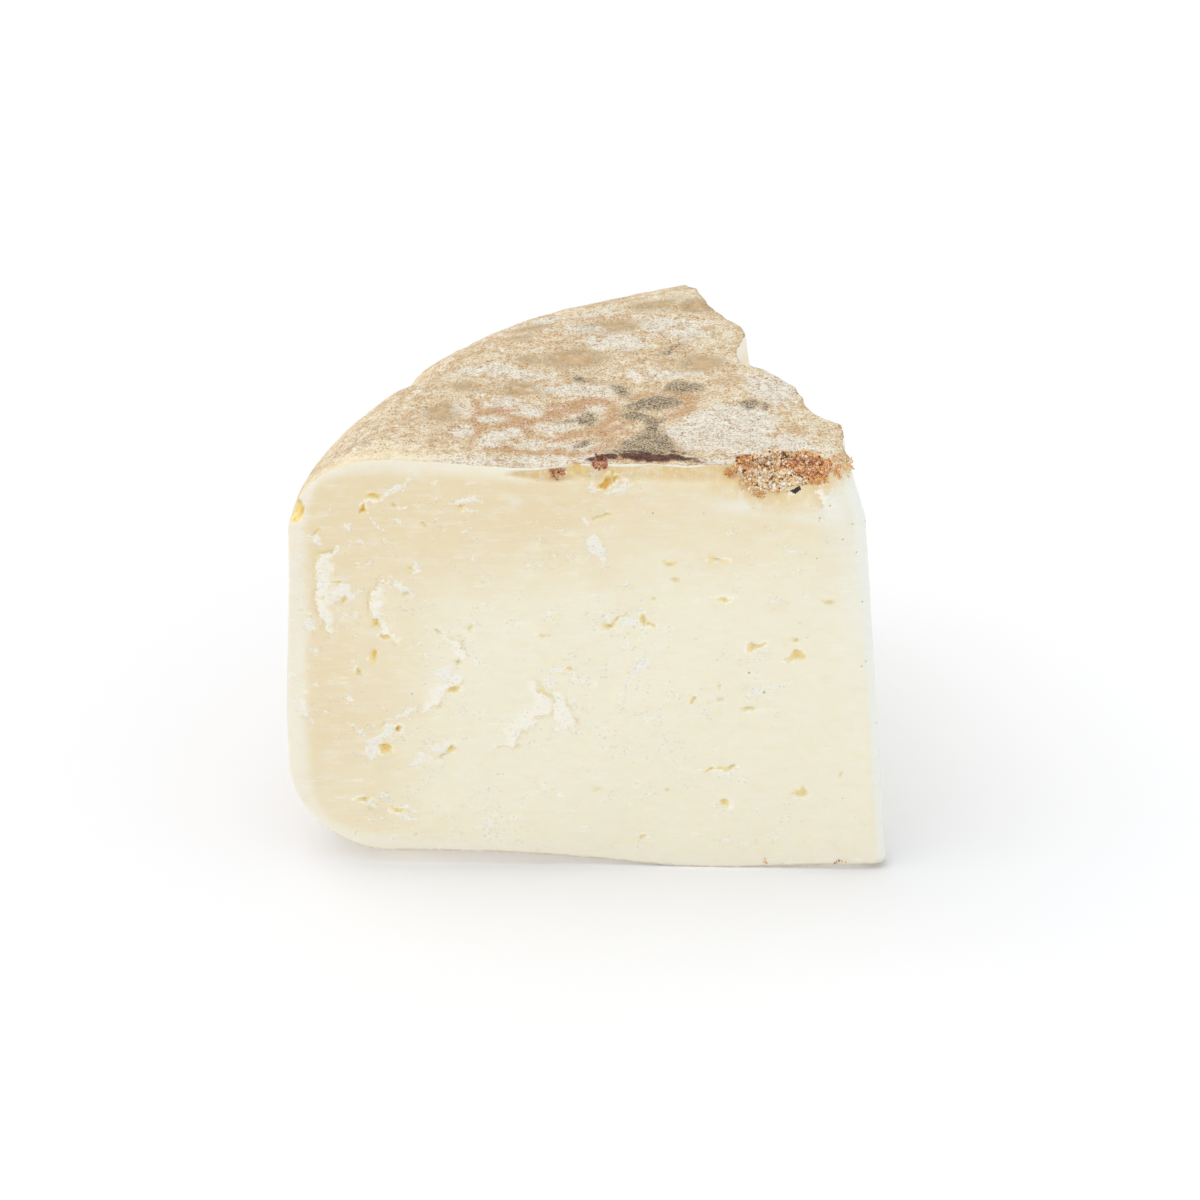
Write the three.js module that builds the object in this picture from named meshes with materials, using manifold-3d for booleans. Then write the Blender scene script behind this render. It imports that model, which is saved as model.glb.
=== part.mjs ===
// A wedge of a small, tall pressed cheese, cut out of its wheel with two strokes of a knife.
//
// Lengths are in millimetres and +Z is up. The wedge stands on the underside of the wheel.
// Its front cut faces -Y, its tip points to +X, and the rind of the wheel's side closes it
// on the left and at the back. The origin is on the ground under the middle of the wedge.
//
// The whole wedge is one piece of food, so it is one closed solid: a shell of rows that run
// round the outline, capped above and below by rings that shrink to a point. The eyes, the
// cracks and the broken corner are then cut out of it, and the crumbs of the crust joined on.

import * as THREE from 'three';
import { ImprovedNoise } from 'three/addons/math/ImprovedNoise.js';
import { mergeVertices } from 'three/addons/utils/BufferGeometryUtils.js';
import Module from 'manifold-3d';

// ---------- Driving sizes ----------

// The wheel that the wedge was cut from
const wheelRadius = 97.9;
const wheelHeight = 80.6;
const axisX = 45;
const axisY = -48.6;
const sideTaper = 1.3; // the side is this much narrower at the top shoulder than low down
const frontShoulder = { across: 15.5, tall: 14.5 };
const backShoulder = { across: 22.5, tall: 17 };
const bottomCorner = { across: 17, tall: 19 };

// The two cuts and the tip between them
const frontOffset = 4.2; // the front cut passes this far behind the wheel's axis
const frontY = axisY + frontOffset;
const apexX = 47; // where the cuts would meet at the top, if the tip were sharp
const apexLean = 6.6; // how much further out they meet at the bottom
const tipCrumble = { depth: 2, from: 68 }; // the top of the tip has crumbled back
const wedgeAngle = THREE.MathUtils.degToRad(68.7);
const tipRadius = 2.2;

// Rows and columns of the shell
const frontColumns = 52;
const tipColumns = 3;
const secondColumns = 24;
const rindColumns = 22;
const sideRows = 24;
const topRings = 8;
const bottomShares = [0.35, 0.7, 0.86, 0.94]; // how far out the rings of the underside lie
const capCentre = { x: 6, y: -12 };

// ---------- Uneven surfaces ----------

const noise = new ImprovedNoise();
const smooth = (low, high, value) => THREE.MathUtils.smoothstep(value, low, high);
const bump = (distance, width) => Math.exp(-((distance / width) ** 2));

// A slow swelling between -1 and 1, different for each phase
function swell(u, v, phase) {
  const broad = Math.sin(u + phase) * Math.cos(0.7 * v + 2 * phase);
  return (broad + 0.5 * Math.sin(1.9 * u - 1.3 * v + 3 * phase)) / 1.5;
}

// Long, low swellings of the rim, and one dent where the wheel was pressed
const rimDent = { angle: THREE.MathUtils.degToRad(30), depth: 2.5, width: 4.5 };

function rimLumps(angle, height) {
  const along = angle * wheelRadius;
  const lump = 0.6 * swell(along / 9, height / 14, 3.1);
  const dent = rimDent.depth * bump(along - rimDent.angle * wheelRadius, rimDent.width);
  return lump - dent * smooth(30, 70, height);
}

// The top of the wheel sags where the paste has sunk, and is rough to the touch
const sag = { x: -12, depth: 1.1, width: 15, reach: 24 };

function topWave(x, y) {
  const sunk = sag.depth * bump(x - sag.x, sag.width) * bump(y - frontY, sag.reach);
  const wave = 0.4 * swell(x / 10, y / 9, 8.7);
  const rough = 0.25 * noise.noise(x / 4.5, y / 4.5, 1.9);
  return wave + rough - sunk;
}

// The underside lifts off the ground along the front cut, left of where the wedge rests
const footX = 22;
const leftLift = { height: 2.7, run: 40 };
const tipLift = { height: 1.2, run: 28 };
const liftReach = 16;

function edgeLift(x, y) {
  const left = leftLift.height * smooth(0, leftLift.run, footX - x);
  const tip = tipLift.height * smooth(0, tipLift.run, x - footX);
  return (left + tip) * (1 - smooth(0, liftReach, y - frontY));
}

// Flakes that tore away from the front cut leave low terraces with a ragged edge
const terraces = [
  { x: -30, z: 52, wide: 15, high: 12, depth: 0.9 },
  { x: -15, z: 33, wide: 8, high: 7, depth: -0.7 },
  { x: -37, z: 14, wide: 12, high: 8, depth: 0.6 },
  { x: -47.5, z: 55, wide: 1.8, high: 9, depth: 1.1 },
];

function terraceDepth(x, z) {
  let depth = 0;
  for (const { x: midX, z: midZ, wide, high, depth: fullDepth } of terraces) {
    const ragged = 0.25 * noise.noise(x / 3, z / 3, 5.3);
    const distance = Math.hypot((x - midX) / wide, (z - midZ) / high) + ragged;
    depth += fullDepth * (1 - smooth(0.85, 1.1, distance));
  }
  return depth;
}

// Under the edge of the rind the paste has shrunk back and left a shallow golden groove
const groove = { from: -14, to: 31, top: 1.2, bottom: 5.2, depth: 1.3 };

function grooveDepth(x, z) {
  const below = wheelHeight - z;
  const along = smooth(groove.from, groove.from + 9, x) * (1 - smooth(groove.to - 2, groove.to, x));
  const down = smooth(groove.top - 0.6, groove.top + 0.5, below);
  return groove.depth * along * down * (1 - smooth(groove.bottom - 1.8, groove.bottom, below));
}

function frontRelief(x, z) {
  const drag = 0.3 * swell(x / 9, z / 8, 0.4);
  return drag + terraceDepth(x, z) + grooveDepth(x, z);
}

// The rind broke unevenly along the second cut: each place stands out or in by so much
const brokenRind = [
  { along: 14, out: 3.2, width: 5 },
  { along: 28.5, out: 1.4, width: 4 },
  { along: 44.5, out: -4, width: 5.5 },
  { along: 57, out: 1.6, width: 4.5 },
  { along: 68, out: -0.8, width: 6 },
];
const brokenReach = 11;

function secondRelief(along, z) {
  const below = wheelHeight - z;
  let broken = 0;
  for (const { along: middle, out, width } of brokenRind) {
    broken += out * bump(along - middle, width);
  }
  const ragged = 0.6 * noise.noise(along / 3.2, 4.4, 1.5);
  const drag = 0.35 * swell(along / 9, z / 8, 6.6);
  return (broken + ragged) * (1 - smooth(1, brokenReach, below)) + drag;
}

// ---------- The wheel's profile and the cuts ----------

const radiusAt = (angle, height) => {
  const taper = sideTaper * smooth(25, 70, height);
  return wheelRadius - taper + rimLumps(angle, height);
};

// The shoulder of the wheel is rounder at the back than where the front cut crosses it
function shoulderAt(angle) {
  const share = smooth(0, 0.28, angle);
  return {
    across: THREE.MathUtils.lerp(frontShoulder.across, backShoulder.across, share),
    tall: THREE.MathUtils.lerp(frontShoulder.tall, backShoulder.tall, share),
  };
}

// The side from halfway round the bottom corner (t = 0) to halfway over the shoulder (t = 1)
const cornerTurn = Math.PI / 4;
const cornerShare = 0.19;
const shoulderShare = 0.2;

function sideProfile(t, angle) {
  const shoulder = shoulderAt(angle);
  let height;
  let inset = 0;
  if (t < cornerShare) {
    const turn = cornerTurn * (1 - t / cornerShare);
    height = bottomCorner.tall * (1 - Math.sin(turn));
    inset = bottomCorner.across * (1 - Math.cos(turn));
  } else if (t > 1 - shoulderShare) {
    const turn = cornerTurn * (1 - (1 - t) / shoulderShare);
    height = wheelHeight - shoulder.tall * (1 - Math.sin(turn));
    inset = shoulder.across * (1 - Math.cos(turn));
  } else {
    const upright = (t - cornerShare) / (1 - cornerShare - shoulderShare);
    height = THREE.MathUtils.lerp(bottomCorner.tall, wheelHeight - shoulder.tall, upright);
  }
  return { radius: radiusAt(angle, height) - inset, height };
}

// The side meets the top and the underside where a corner has turned halfway
const halfwayFall = 1 - Math.SQRT1_2;

// How far a corner's quarter ellipse has fallen at a given distance past its start
function cornerFall(past, corner) {
  const share = THREE.MathUtils.clamp(past / corner.across, 0, Math.SQRT1_2 + 0.05);
  return corner.tall * (1 - Math.sqrt(1 - share * share));
}

function fromAxis(x, y) {
  return { radius: Math.hypot(x - axisX, y - axisY), angle: Math.atan2(y - axisY, axisX - x) };
}

function topHeight(x, y) {
  const { radius, angle } = fromAxis(x, y);
  const shoulder = shoulderAt(angle);
  const rim = wheelHeight - shoulder.tall * halfwayFall;
  const past = radius - radiusAt(angle, rim) + shoulder.across;
  return wheelHeight - cornerFall(past, shoulder) + topWave(x, y);
}

function bottomHeight(x, y) {
  const { radius, angle } = fromAxis(x, y);
  const past = radius - radiusAt(angle, bottomCorner.tall * halfwayFall) + bottomCorner.across;
  return cornerFall(past, bottomCorner) + edgeLift(x, y);
}

// The second cut runs from the leaning apex in this direction, and faces this way
const secondDirection = { x: -Math.cos(wedgeAngle), y: Math.sin(wedgeAngle) };
const secondNormal = { x: Math.sin(wedgeAngle), y: Math.cos(wedgeAngle) };
const apexAt = (z) => {
  const crumbled = tipCrumble.depth * smooth(tipCrumble.from, wheelHeight, z);
  return apexX + apexLean * (1 - z / wheelHeight) - crumbled;
};
const tipBack = tipRadius / Math.tan(wedgeAngle / 2); // from the apex to where the rounding starts

function secondPoint(along, z) {
  return {
    x: apexAt(z) + along * secondDirection.x,
    y: frontY + along * secondDirection.y,
  };
}

// Where the second cut leaves the wheel, at a given radius and height
function secondLength(radius, z) {
  const start = { x: apexAt(z) - axisX, y: frontOffset };
  const half = start.x * secondDirection.x + start.y * secondDirection.y;
  return -half + Math.sqrt(half ** 2 + radius ** 2 - start.x ** 2 - start.y ** 2);
}

// ---------- The four sides, each as a grid of points ----------

// Fills a four-sided patch from its edges, in the two coordinates that its edges use
function blend(s, t, edges) {
  const { left, right, bottom, top } = edges;
  const mix = (key) => {
    const across = (1 - s) * left(t)[key] + s * right(t)[key];
    const up = (1 - t) * bottom(s)[key] + t * top(s)[key];
    const low = (1 - s) * bottom(0)[key] + s * bottom(1)[key];
    const high = (1 - s) * top(0)[key] + s * top(1)[key];
    return across + up - (1 - t) * low - t * high;
  };
  return { along: mix('along'), z: mix('z') };
}

function raised(x, y, z, t) {
  return z + topWave(x, y) * t ** 3 + edgeLift(x, y) * (1 - t) ** 3;
}

function rindPoint(t, angle) {
  const { radius, height } = sideProfile(t, angle);
  const x = axisX - radius * Math.cos(angle);
  const y = axisY + radius * Math.sin(angle);
  return new THREE.Vector3(x, y, raised(x, y, height, t));
}

// The rind meets the front cut at this angle round the axis, and the second cut at that one.
// The radius there depends on the angle in turn, so both are found in a few steps.
const steps = [1, 2, 3];

function frontAngle(t) {
  return steps.reduce((angle) => Math.asin(frontOffset / sideProfile(t, angle).radius), 0);
}

function backAngle(t) {
  return steps.reduce((angle) => {
    const { radius, height } = sideProfile(t, angle);
    const corner = secondPoint(secondLength(radius, height), height);
    return fromAxis(corner.x, corner.y).angle;
  }, wedgeAngle);
}

// The height of a cap where the second cut passes under or over it
function secondEdgeHeight(along, heightAt, start) {
  return steps.reduce((z) => {
    const { x, y } = secondPoint(along, z);
    return heightAt(x, y);
  }, start);
}

function tipColumnZ(t) {
  const foot = bottomHeight(apexX + apexLean - tipBack, frontY);
  return THREE.MathUtils.lerp(foot, topHeight(apexX - tipBack, frontY), t);
}

const frontEdges = {
  left: (t) => {
    const corner = rindPoint(t, frontAngle(t));
    return { along: corner.x, z: corner.z };
  },
  right: (t) => ({ along: apexAt(tipColumnZ(t)) - tipBack, z: tipColumnZ(t) }),
  bottom: (s) => {
    const x = THREE.MathUtils.lerp(frontEdges.left(0).along, frontEdges.right(0).along, s);
    return { along: x, z: bottomHeight(x, frontY) };
  },
  top: (s) => {
    const x = THREE.MathUtils.lerp(frontEdges.left(1).along, frontEdges.right(1).along, s);
    return { along: x, z: topHeight(x, frontY) };
  },
};

const secondEdges = {
  left: (t) => ({ along: tipBack, z: tipColumnZ(t) }),
  right: (t) => {
    const { radius, height } = sideProfile(t, backAngle(t));
    return { along: secondLength(radius, height), z: rindPoint(t, backAngle(t)).z };
  },
  bottom: (s) => {
    const along = THREE.MathUtils.lerp(tipBack, secondEdges.right(0).along, s);
    return { along, z: secondEdgeHeight(along, bottomHeight, 0) };
  },
  top: (s) => {
    const along = THREE.MathUtils.lerp(tipBack, secondEdges.right(1).along, s);
    return { along, z: secondEdgeHeight(along, topHeight, wheelHeight) };
  },
};

function frontSurface(s, t) {
  const { along: x, z } = blend(s, t, frontEdges);
  return new THREE.Vector3(x, frontY + frontRelief(x, z) * smooth(0, 0.02, s), z);
}

function secondSurface(s, t) {
  const { along, z } = blend(s, t, secondEdges);
  const { x, y } = secondPoint(along, z);
  const out = secondRelief(along, z) * smooth(0, 0.05, s) * smooth(0, 0.05, 1 - s);
  return new THREE.Vector3(x + out * secondNormal.x, y + out * secondNormal.y, z);
}

// The rounded tip turns from the front cut's side to the second cut's
function tipSurface(s, t) {
  const start = frontSurface(1, t);
  const turn = -Math.PI / 2 + s * (Math.PI - wedgeAngle);
  const x = start.x + tipRadius * Math.cos(turn);
  const y = start.y + tipRadius * (1 + Math.sin(turn));
  return new THREE.Vector3(x, y, start.z);
}

function rindSurface(s, t) {
  return rindPoint(t, THREE.MathUtils.lerp(backAngle(t), frontAngle(t), s));
}

// Rows lie closer together near the top, where the rind's edge and the groove are
const rowShare = (row) => 1 - (1 - row / sideRows) ** 1.35;

function outlineRow(row) {
  const t = rowShare(row);
  const sides = [
    [frontSurface, frontColumns],
    [tipSurface, tipColumns],
    [secondSurface, secondColumns],
    [rindSurface, rindColumns],
  ];
  return sides.flatMap(([surface, columns]) =>
    Array.from({ length: columns }, (_, column) => surface(column / columns, t)),
  );
}

// ---------- The closed shell ----------

// A ring of a cap is the outline drawn in towards the middle, at the height found there
function capRing(outline, share, heightAt) {
  return outline.map((point) => {
    const x = THREE.MathUtils.lerp(capCentre.x, point.x, share);
    const y = THREE.MathUtils.lerp(capCentre.y, point.y, share);
    return new THREE.Vector3(x, y, heightAt(x, y));
  });
}

function shellRows() {
  const sides = Array.from({ length: sideRows + 1 }, (_, row) => outlineRow(row));
  const bottom = [];
  for (const share of bottomShares) {
    bottom.push(capRing(sides[0], share, bottomHeight));
  }
  const top = [];
  for (let ring = topRings - 1; ring > 0; ring -= 1) {
    top.push(capRing(sides[sideRows], (ring / topRings) ** 0.8, topHeight));
  }
  return [...bottom, ...sides, ...top];
}

function makeShell() {
  const rows = shellRows();
  const columns = rows[0].length;
  const points = rows.flat();
  const middleBelow = points.length;
  const middleAbove = middleBelow + 1;
  points.push(new THREE.Vector3(capCentre.x, capCentre.y, bottomHeight(capCentre.x, capCentre.y)));
  points.push(new THREE.Vector3(capCentre.x, capCentre.y, topHeight(capCentre.x, capCentre.y)));

  const faces = [];
  const lastRow = (rows.length - 1) * columns;
  for (let column = 0; column < columns; column += 1) {
    const next = (column + 1) % columns;
    faces.push(middleBelow, next, column);
    faces.push(middleAbove, lastRow + column, lastRow + next);
    for (let row = 0; row < rows.length - 1; row += 1) {
      const here = row * columns;
      const above = here + columns;
      faces.push(here + column, here + next, above + next);
      faces.push(here + column, above + next, above + column);
    }
  }
  const geometry = new THREE.BufferGeometry().setFromPoints(points);
  geometry.setIndex(faces);
  return geometry;
}

// ---------- Eyes, cracks and the broken corner ----------

// A seeded draw: the same numbers come out each time the wedge is made
function makeDraw(seed) {
  let count = seed;
  return (low, high) => {
    count += 1;
    return THREE.MathUtils.lerp(low, high, THREE.MathUtils.seededRandom(count * 7919));
  };
}

// A lumpy blob with the given half-sizes, turned in the plane of the front cut
function makeBlob(place, half, tilt, draw, detail = 0) {
  const geometry = mergeVertices(stripped(new THREE.IcosahedronGeometry(1, detail)));
  const position = geometry.attributes.position;
  for (let index = 0; index < position.count; index += 1) {
    const lump = draw(0.8, 1.15);
    position.setXYZ(
      index,
      position.getX(index) * half.x * lump,
      position.getY(index) * half.y * lump,
      position.getZ(index) * half.z * lump,
    );
  }
  geometry.rotateY(tilt);
  geometry.translate(place.x, place.y, place.z);
  return geometry;
}

function stripped(geometry) {
  geometry.deleteAttribute('normal');
  geometry.deleteAttribute('uv');
  return geometry;
}

// The larger eyes of the front cut: place, width, height and tilt in degrees
const eyes = [
  { x: -38.9, z: 70.4, wide: 1.6, high: 2.2, tilt: 0 },
  { x: -36.9, z: 73.4, wide: 2.6, high: 1.6, tilt: 30 },
  { x: -21.8, z: 71.7, wide: 2, high: 1.6, tilt: 20 },
  { x: -42.3, z: 53.7, wide: 2.2, high: 1.6, tilt: 0 },
  { x: -37, z: 48.2, wide: 1.8, high: 1.6, tilt: -20 },
  { x: -35.3, z: 45.9, wide: 2.2, high: 1.2, tilt: -15 },
  { x: -37.7, z: 42, wide: 1.7, high: 1.6, tilt: -30 },
  { x: -23.7, z: 35.6, wide: 2.5, high: 1.9, tilt: 15 },
  { x: -36.2, z: 23.2, wide: 2.7, high: 2, tilt: -25 },
  { x: -25.5, z: 23.1, wide: 3.7, high: 1.3, tilt: 20 },
  { x: -34.2, z: 11, wide: 2.2, high: 1.4, tilt: -10 },
  { x: 3.6, z: 48.7, wide: 3.2, high: 1.8, tilt: 35 },
  { x: 9.2, z: 49, wide: 2.8, high: 1.8, tilt: -40 },
  { x: 22.3, z: 62, wide: 2.4, high: 1.2, tilt: 5 },
  { x: 28.7, z: 44.9, wide: 2.4, high: 1.5, tilt: 10 },
  { x: 35.6, z: 43, wide: 3, high: 1.5, tilt: 20 },
  { x: 27.4, z: 32.1, wide: 2.6, high: 1.1, tilt: 0 },
  { x: 21.3, z: 20.6, wide: 2.4, high: 1.5, tilt: 0 },
  { x: 24.4, z: 20, wide: 2.2, high: 1.3, tilt: -10 },
  { x: 24.3, z: 13.4, wide: 2, high: 1.7, tilt: 0 },
  { x: 37.1, z: 15.3, wide: 2.5, high: 1.3, tilt: 10 },
  { x: 2.7, z: 75.8, wide: 3.6, high: 2.4, tilt: 25 },
];
const eyeDepth = 1.3;

function makeEyes(draw) {
  return eyes.map(({ x, z, wide, high, tilt }) => {
    const half = { x: wide / 2, y: eyeDepth, z: high / 2 };
    const y = frontY + frontRelief(x, z);
    return makeBlob({ x, y, z }, half, -THREE.MathUtils.degToRad(tilt), draw);
  });
}

// The eye that the cut laid open right at the rind, on the left shoulder
const edgeEye = { x: -50.6, z: 70.6, half: { x: 1.6, y: 2.2, z: 2.6 } };

// Cracks follow these corners across the front cut
const crackWidth = 0.9;
const crackDepth = 1.2;
const cracks = [
  [[-39.5, 64.3], [-45.9, 62], [-47.4, 57.2], [-47.2, 48.4]],
  [[-30.5, 54.8], [-36.9, 56.2], [-37.2, 50.4]],
  [[-15.4, 26], [-10.5, 29.2], [-7.1, 32.2], [-10.2, 37.4]],
  [[5.5, 69.8], [-0.5, 69.2]],
];

function makeCracks(draw) {
  return cracks.flatMap((corners) =>
    corners.slice(1).map(([endX, endZ], index) => {
      const [startX, startZ] = corners[index];
      const x = (startX + endX) / 2;
      const z = (startZ + endZ) / 2;
      const length = Math.hypot(endX - startX, endZ - startZ);
      const half = { x: length / 2 + 0.5, y: crackDepth, z: crackWidth / 2 };
      const tilt = -Math.atan2(endZ - startZ, endX - startX);
      return makeBlob({ x, y: frontY + frontRelief(x, z), z }, half, tilt, draw, 1);
    }),
  );
}

// Next to the tip the edge of the rind has broken off, and its crumbs still hang there
const brokenCorner = { x: 33.6, out: 3, above: 2.8, half: { x: 11, y: 8.4, z: 8.2 } };
const cornerMiddle = new THREE.Vector3(
  brokenCorner.x,
  frontY - brokenCorner.out,
  wheelHeight + brokenCorner.above,
);
const crumbRows = 4;
const crumbColumns = 14;
const crumbSize = { smallest: 0.9, largest: 1.5 };
const crumbSink = 0.35; // how far a crumb's middle sits below the broken face

function makeBrokenCorner(draw) {
  const { half } = brokenCorner;
  return makeBlob(cornerMiddle, half, 0.04, draw, 2);
}

// The crumbs lie in uneven rows on the part of the broken face that is inside the wedge
function makeCrumbs(draw) {
  const { half } = brokenCorner;
  const crumbs = [];
  for (let index = 0; index < crumbRows * crumbColumns; index += 1) {
    const column = (index % crumbColumns) / (crumbColumns - 1);
    const row = Math.floor(index / crumbColumns) / (crumbRows - 1);
    const across = 0.93 * Math.sin((column - 0.5) * 2.8) + draw(-0.05, 0.05);
    const down = THREE.MathUtils.lerp(0.48, 1.12, row) + draw(-0.06, 0.06);
    const rest = Math.sqrt(Math.max(0, 1 - across ** 2)) + crumbSink / half.y;
    const place = new THREE.Vector3(
      cornerMiddle.x + across * half.x,
      cornerMiddle.y + Math.cos(down) * rest * half.y,
      cornerMiddle.z - Math.sin(down) * rest * half.z,
    );
    const size = draw(crumbSize.smallest, crumbSize.largest);
    const inside = place.y - size > frontY - 0.4 && place.z + size < wheelHeight + 0.4;
    if (inside) {
      crumbs.push(makeBlob(place, { x: size, y: size, z: size * 0.85 }, draw(0, 3), draw));
    }
  }
  return crumbs;
}

// ---------- Joining and cutting ----------

const wasm = await Module();
wasm.setup();

function toSolid(geometry) {
  const vertProperties = new Float32Array(geometry.attributes.position.array);
  const triVerts = new Uint32Array(geometry.index.array);
  return new wasm.Manifold(new wasm.Mesh({ numProp: 3, vertProperties, triVerts }));
}

function toGeometry(solid) {
  const { vertProperties, triVerts } = solid.getMesh();
  const geometry = new THREE.BufferGeometry();
  geometry.setAttribute('position', new THREE.BufferAttribute(vertProperties, 3));
  geometry.setIndex(new THREE.BufferAttribute(triVerts, 1));
  geometry.computeVertexNormals();
  return geometry;
}

function makeWedge() {
  const draw = makeDraw(12);
  const edgeEyePlace = { x: edgeEye.x, y: frontY, z: edgeEye.z };
  const hollows = [
    makeBrokenCorner(draw),
    ...makeEyes(draw),
    ...makeCracks(draw),
    makeBlob(edgeEyePlace, edgeEye.half, 0.4, draw, 1),
  ];
  let solid = toSolid(makeShell());
  for (const hollow of hollows) {
    solid = solid.subtract(toSolid(hollow));
  }
  for (const crumb of makeCrumbs(draw)) {
    solid = solid.add(toSolid(crumb));
  }
  return toGeometry(largestPiece(solid));
}

// A scrap that the cutting has left loose is dropped
function largestPiece(solid) {
  const pieces = solid.decompose();
  return pieces.reduce((best, piece) => (piece.volume() > best.volume() ? piece : best));
}

// ---------- The finished object ----------

const pasteMaterial = new THREE.MeshStandardMaterial({
  color: 0xece2c6,
  roughness: 0.55,
  metalness: 0,
});

const cheese = new THREE.Mesh(makeWedge(), pasteMaterial);
cheese.name = 'cheese_wedge';

const wedge = new THREE.Group();
wedge.add(cheese);

export default wedge;
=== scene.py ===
import math

import bmesh
import bpy
import numpy as np
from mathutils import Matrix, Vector
from mathutils.geometry import delaunay_2d_cdt


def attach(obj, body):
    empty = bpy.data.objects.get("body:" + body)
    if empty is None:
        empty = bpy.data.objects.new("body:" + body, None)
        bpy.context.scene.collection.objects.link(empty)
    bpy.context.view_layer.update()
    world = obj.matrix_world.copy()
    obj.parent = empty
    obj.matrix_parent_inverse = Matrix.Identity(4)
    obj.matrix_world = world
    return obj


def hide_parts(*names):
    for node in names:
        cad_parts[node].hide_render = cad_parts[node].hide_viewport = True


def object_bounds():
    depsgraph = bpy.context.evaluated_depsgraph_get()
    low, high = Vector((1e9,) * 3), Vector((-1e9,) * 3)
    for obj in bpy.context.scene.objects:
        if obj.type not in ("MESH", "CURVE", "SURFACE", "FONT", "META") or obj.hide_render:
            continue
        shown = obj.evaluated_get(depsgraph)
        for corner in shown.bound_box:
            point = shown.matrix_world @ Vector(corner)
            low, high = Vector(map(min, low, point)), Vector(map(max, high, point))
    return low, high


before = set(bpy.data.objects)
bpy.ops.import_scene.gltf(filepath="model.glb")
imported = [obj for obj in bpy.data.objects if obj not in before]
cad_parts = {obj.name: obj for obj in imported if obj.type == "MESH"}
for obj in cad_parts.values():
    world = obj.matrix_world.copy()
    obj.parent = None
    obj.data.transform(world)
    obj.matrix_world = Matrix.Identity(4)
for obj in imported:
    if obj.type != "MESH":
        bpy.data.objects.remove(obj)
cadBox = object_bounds()
print("frame loaded")

mm = 0.001  # lengths below are millimetres, and become metres where a mesh is made


# small maths

def smooth(low, high, value):
    share = np.clip((value - low) / (high - low), 0, 1)
    return share * share * (3 - 2 * share)


def falling(low, high, value):
    return 1 - smooth(low, high, value)


def bump(distance, width):
    return np.exp(-((distance / width) ** 2))


def lerp(start, end, share):
    return start + (end - start) * share


def swell(u, v, phase):
    # a slow swelling between -1 and 1, different for each phase
    broad = np.sin(u + phase) * np.cos(0.7 * v + 2 * phase)
    return (broad + 0.5 * np.sin(1.9 * u - 1.3 * v + 3 * phase)) / 1.5


blockSide = 40
blockSeed = 41
block = np.random.default_rng(blockSeed).uniform(-1, 1, (blockSide,) * 3)
finerLayer = {"stretch": 2.03, "weight": 0.55, "shiftX": 7.3, "shiftY": 3.1}


def noise(x, y, z=0.0):
    # smooth noise between -1 and 1, read out of a repeating block of seeded random numbers
    x, y, z = np.broadcast_arrays(x, y, z)
    cells = [np.floor(v).astype(int) for v in (x, y, z)]
    shares = [v - cell for v, cell in zip((x, y, z), cells)]
    shares = [share * share * (3 - 2 * share) for share in shares]
    total = np.zeros(x.shape)
    for corner in np.ndindex(2, 2, 2):
        weight = 1.0
        for share, step in zip(shares, corner):
            weight = weight * (share if step else 1 - share)
        place = tuple((cell + step) % blockSide for cell, step in zip(cells, corner))
        total += weight * block[place]
    return total


def fractal(x, y, z=0.0, octaves=3):
    total, weight, size = 0.0, 1.0, 0.0
    for octave in range(octaves):
        stretch = finerLayer["stretch"] ** octave
        shiftX, shiftY = finerLayer["shiftX"] * octave, finerLayer["shiftY"] * octave
        total = total + weight * noise(x * stretch + shiftX, y * stretch + shiftY, z * stretch)
        size += weight
        weight *= finerLayer["weight"]
    return total / size


# the wheel and its two cuts, as the solid has them

wheel = {
    "radius": 97.9,
    "height": 80.6,
    "axisX": 45,
    "axisY": -48.6,
    "taper": {"by": 1.3, "grows": (25, 70)},  # between these heights
    "lumps": {"rise": 0.6, "along": 9, "up": 14, "phase": 3.1},
    "dent": {"angle": math.radians(30), "depth": 2.5, "width": 4.5, "grows": (30, 70)},
    "frontShoulder": (15.5, 14.5),  # across, tall
    "backShoulder": (22.5, 17),
    "shoulderTurn": 0.28,  # radians round from the front cut, to where the shoulder is the back one
    "bottomCorner": (17, 19),
    "cornerOverlap": 0.05,  # how far the caps follow a corner past halfway
    "sag": {"x": -12, "depth": 1.1, "width": 15, "reach": 24},
    "topSwell": {"rise": 0.4, "across": 10, "back": 9, "phase": 8.7},
    "topRough": [(0.3, 5, 4, 1.3, 2), (0.16, 1.6, 1.6, 6.1, 3)],  # rise, across, back, seed, octaves
    "cornerShare": 0.19,  # of the side's height in rows
    "shoulderShare": 0.2,
    "dieOut": 3,  # power by which the top's wave and the foot's lift die out over the side
}
cuts = {
    "frontY": -44.4,
    "apexX": 47,
    "apexLean": 6.6,
    "crumbleDepth": 2,
    "crumbleFrom": 68,
    "angle": math.radians(68.7),
    "tipRadius": 2.2,
    "footX": 22,
    "leftLift": (2.7, 40),  # height, run
    "tipLift": (1.2, 28),
    "liftReach": 16,
}
frontY = cuts["frontY"]
top = wheel["height"]
halfway = math.sqrt(0.5)
halfwayFall = 1 - halfway
cornerTurn = math.pi / 4
settlingRounds = 3


def rimLumps(angle, height):
    dent, lumps = wheel["dent"], wheel["lumps"]
    along = angle * wheel["radius"]
    hollow = dent["depth"] * bump(along - dent["angle"] * wheel["radius"], dent["width"])
    lumpy = lumps["rise"] * swell(along / lumps["along"], height / lumps["up"], lumps["phase"])
    return lumpy - hollow * smooth(*dent["grows"], height)


def radiusAt(angle, height):
    taper = wheel["taper"]
    return wheel["radius"] - taper["by"] * smooth(*taper["grows"], height) + rimLumps(angle, height)


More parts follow.
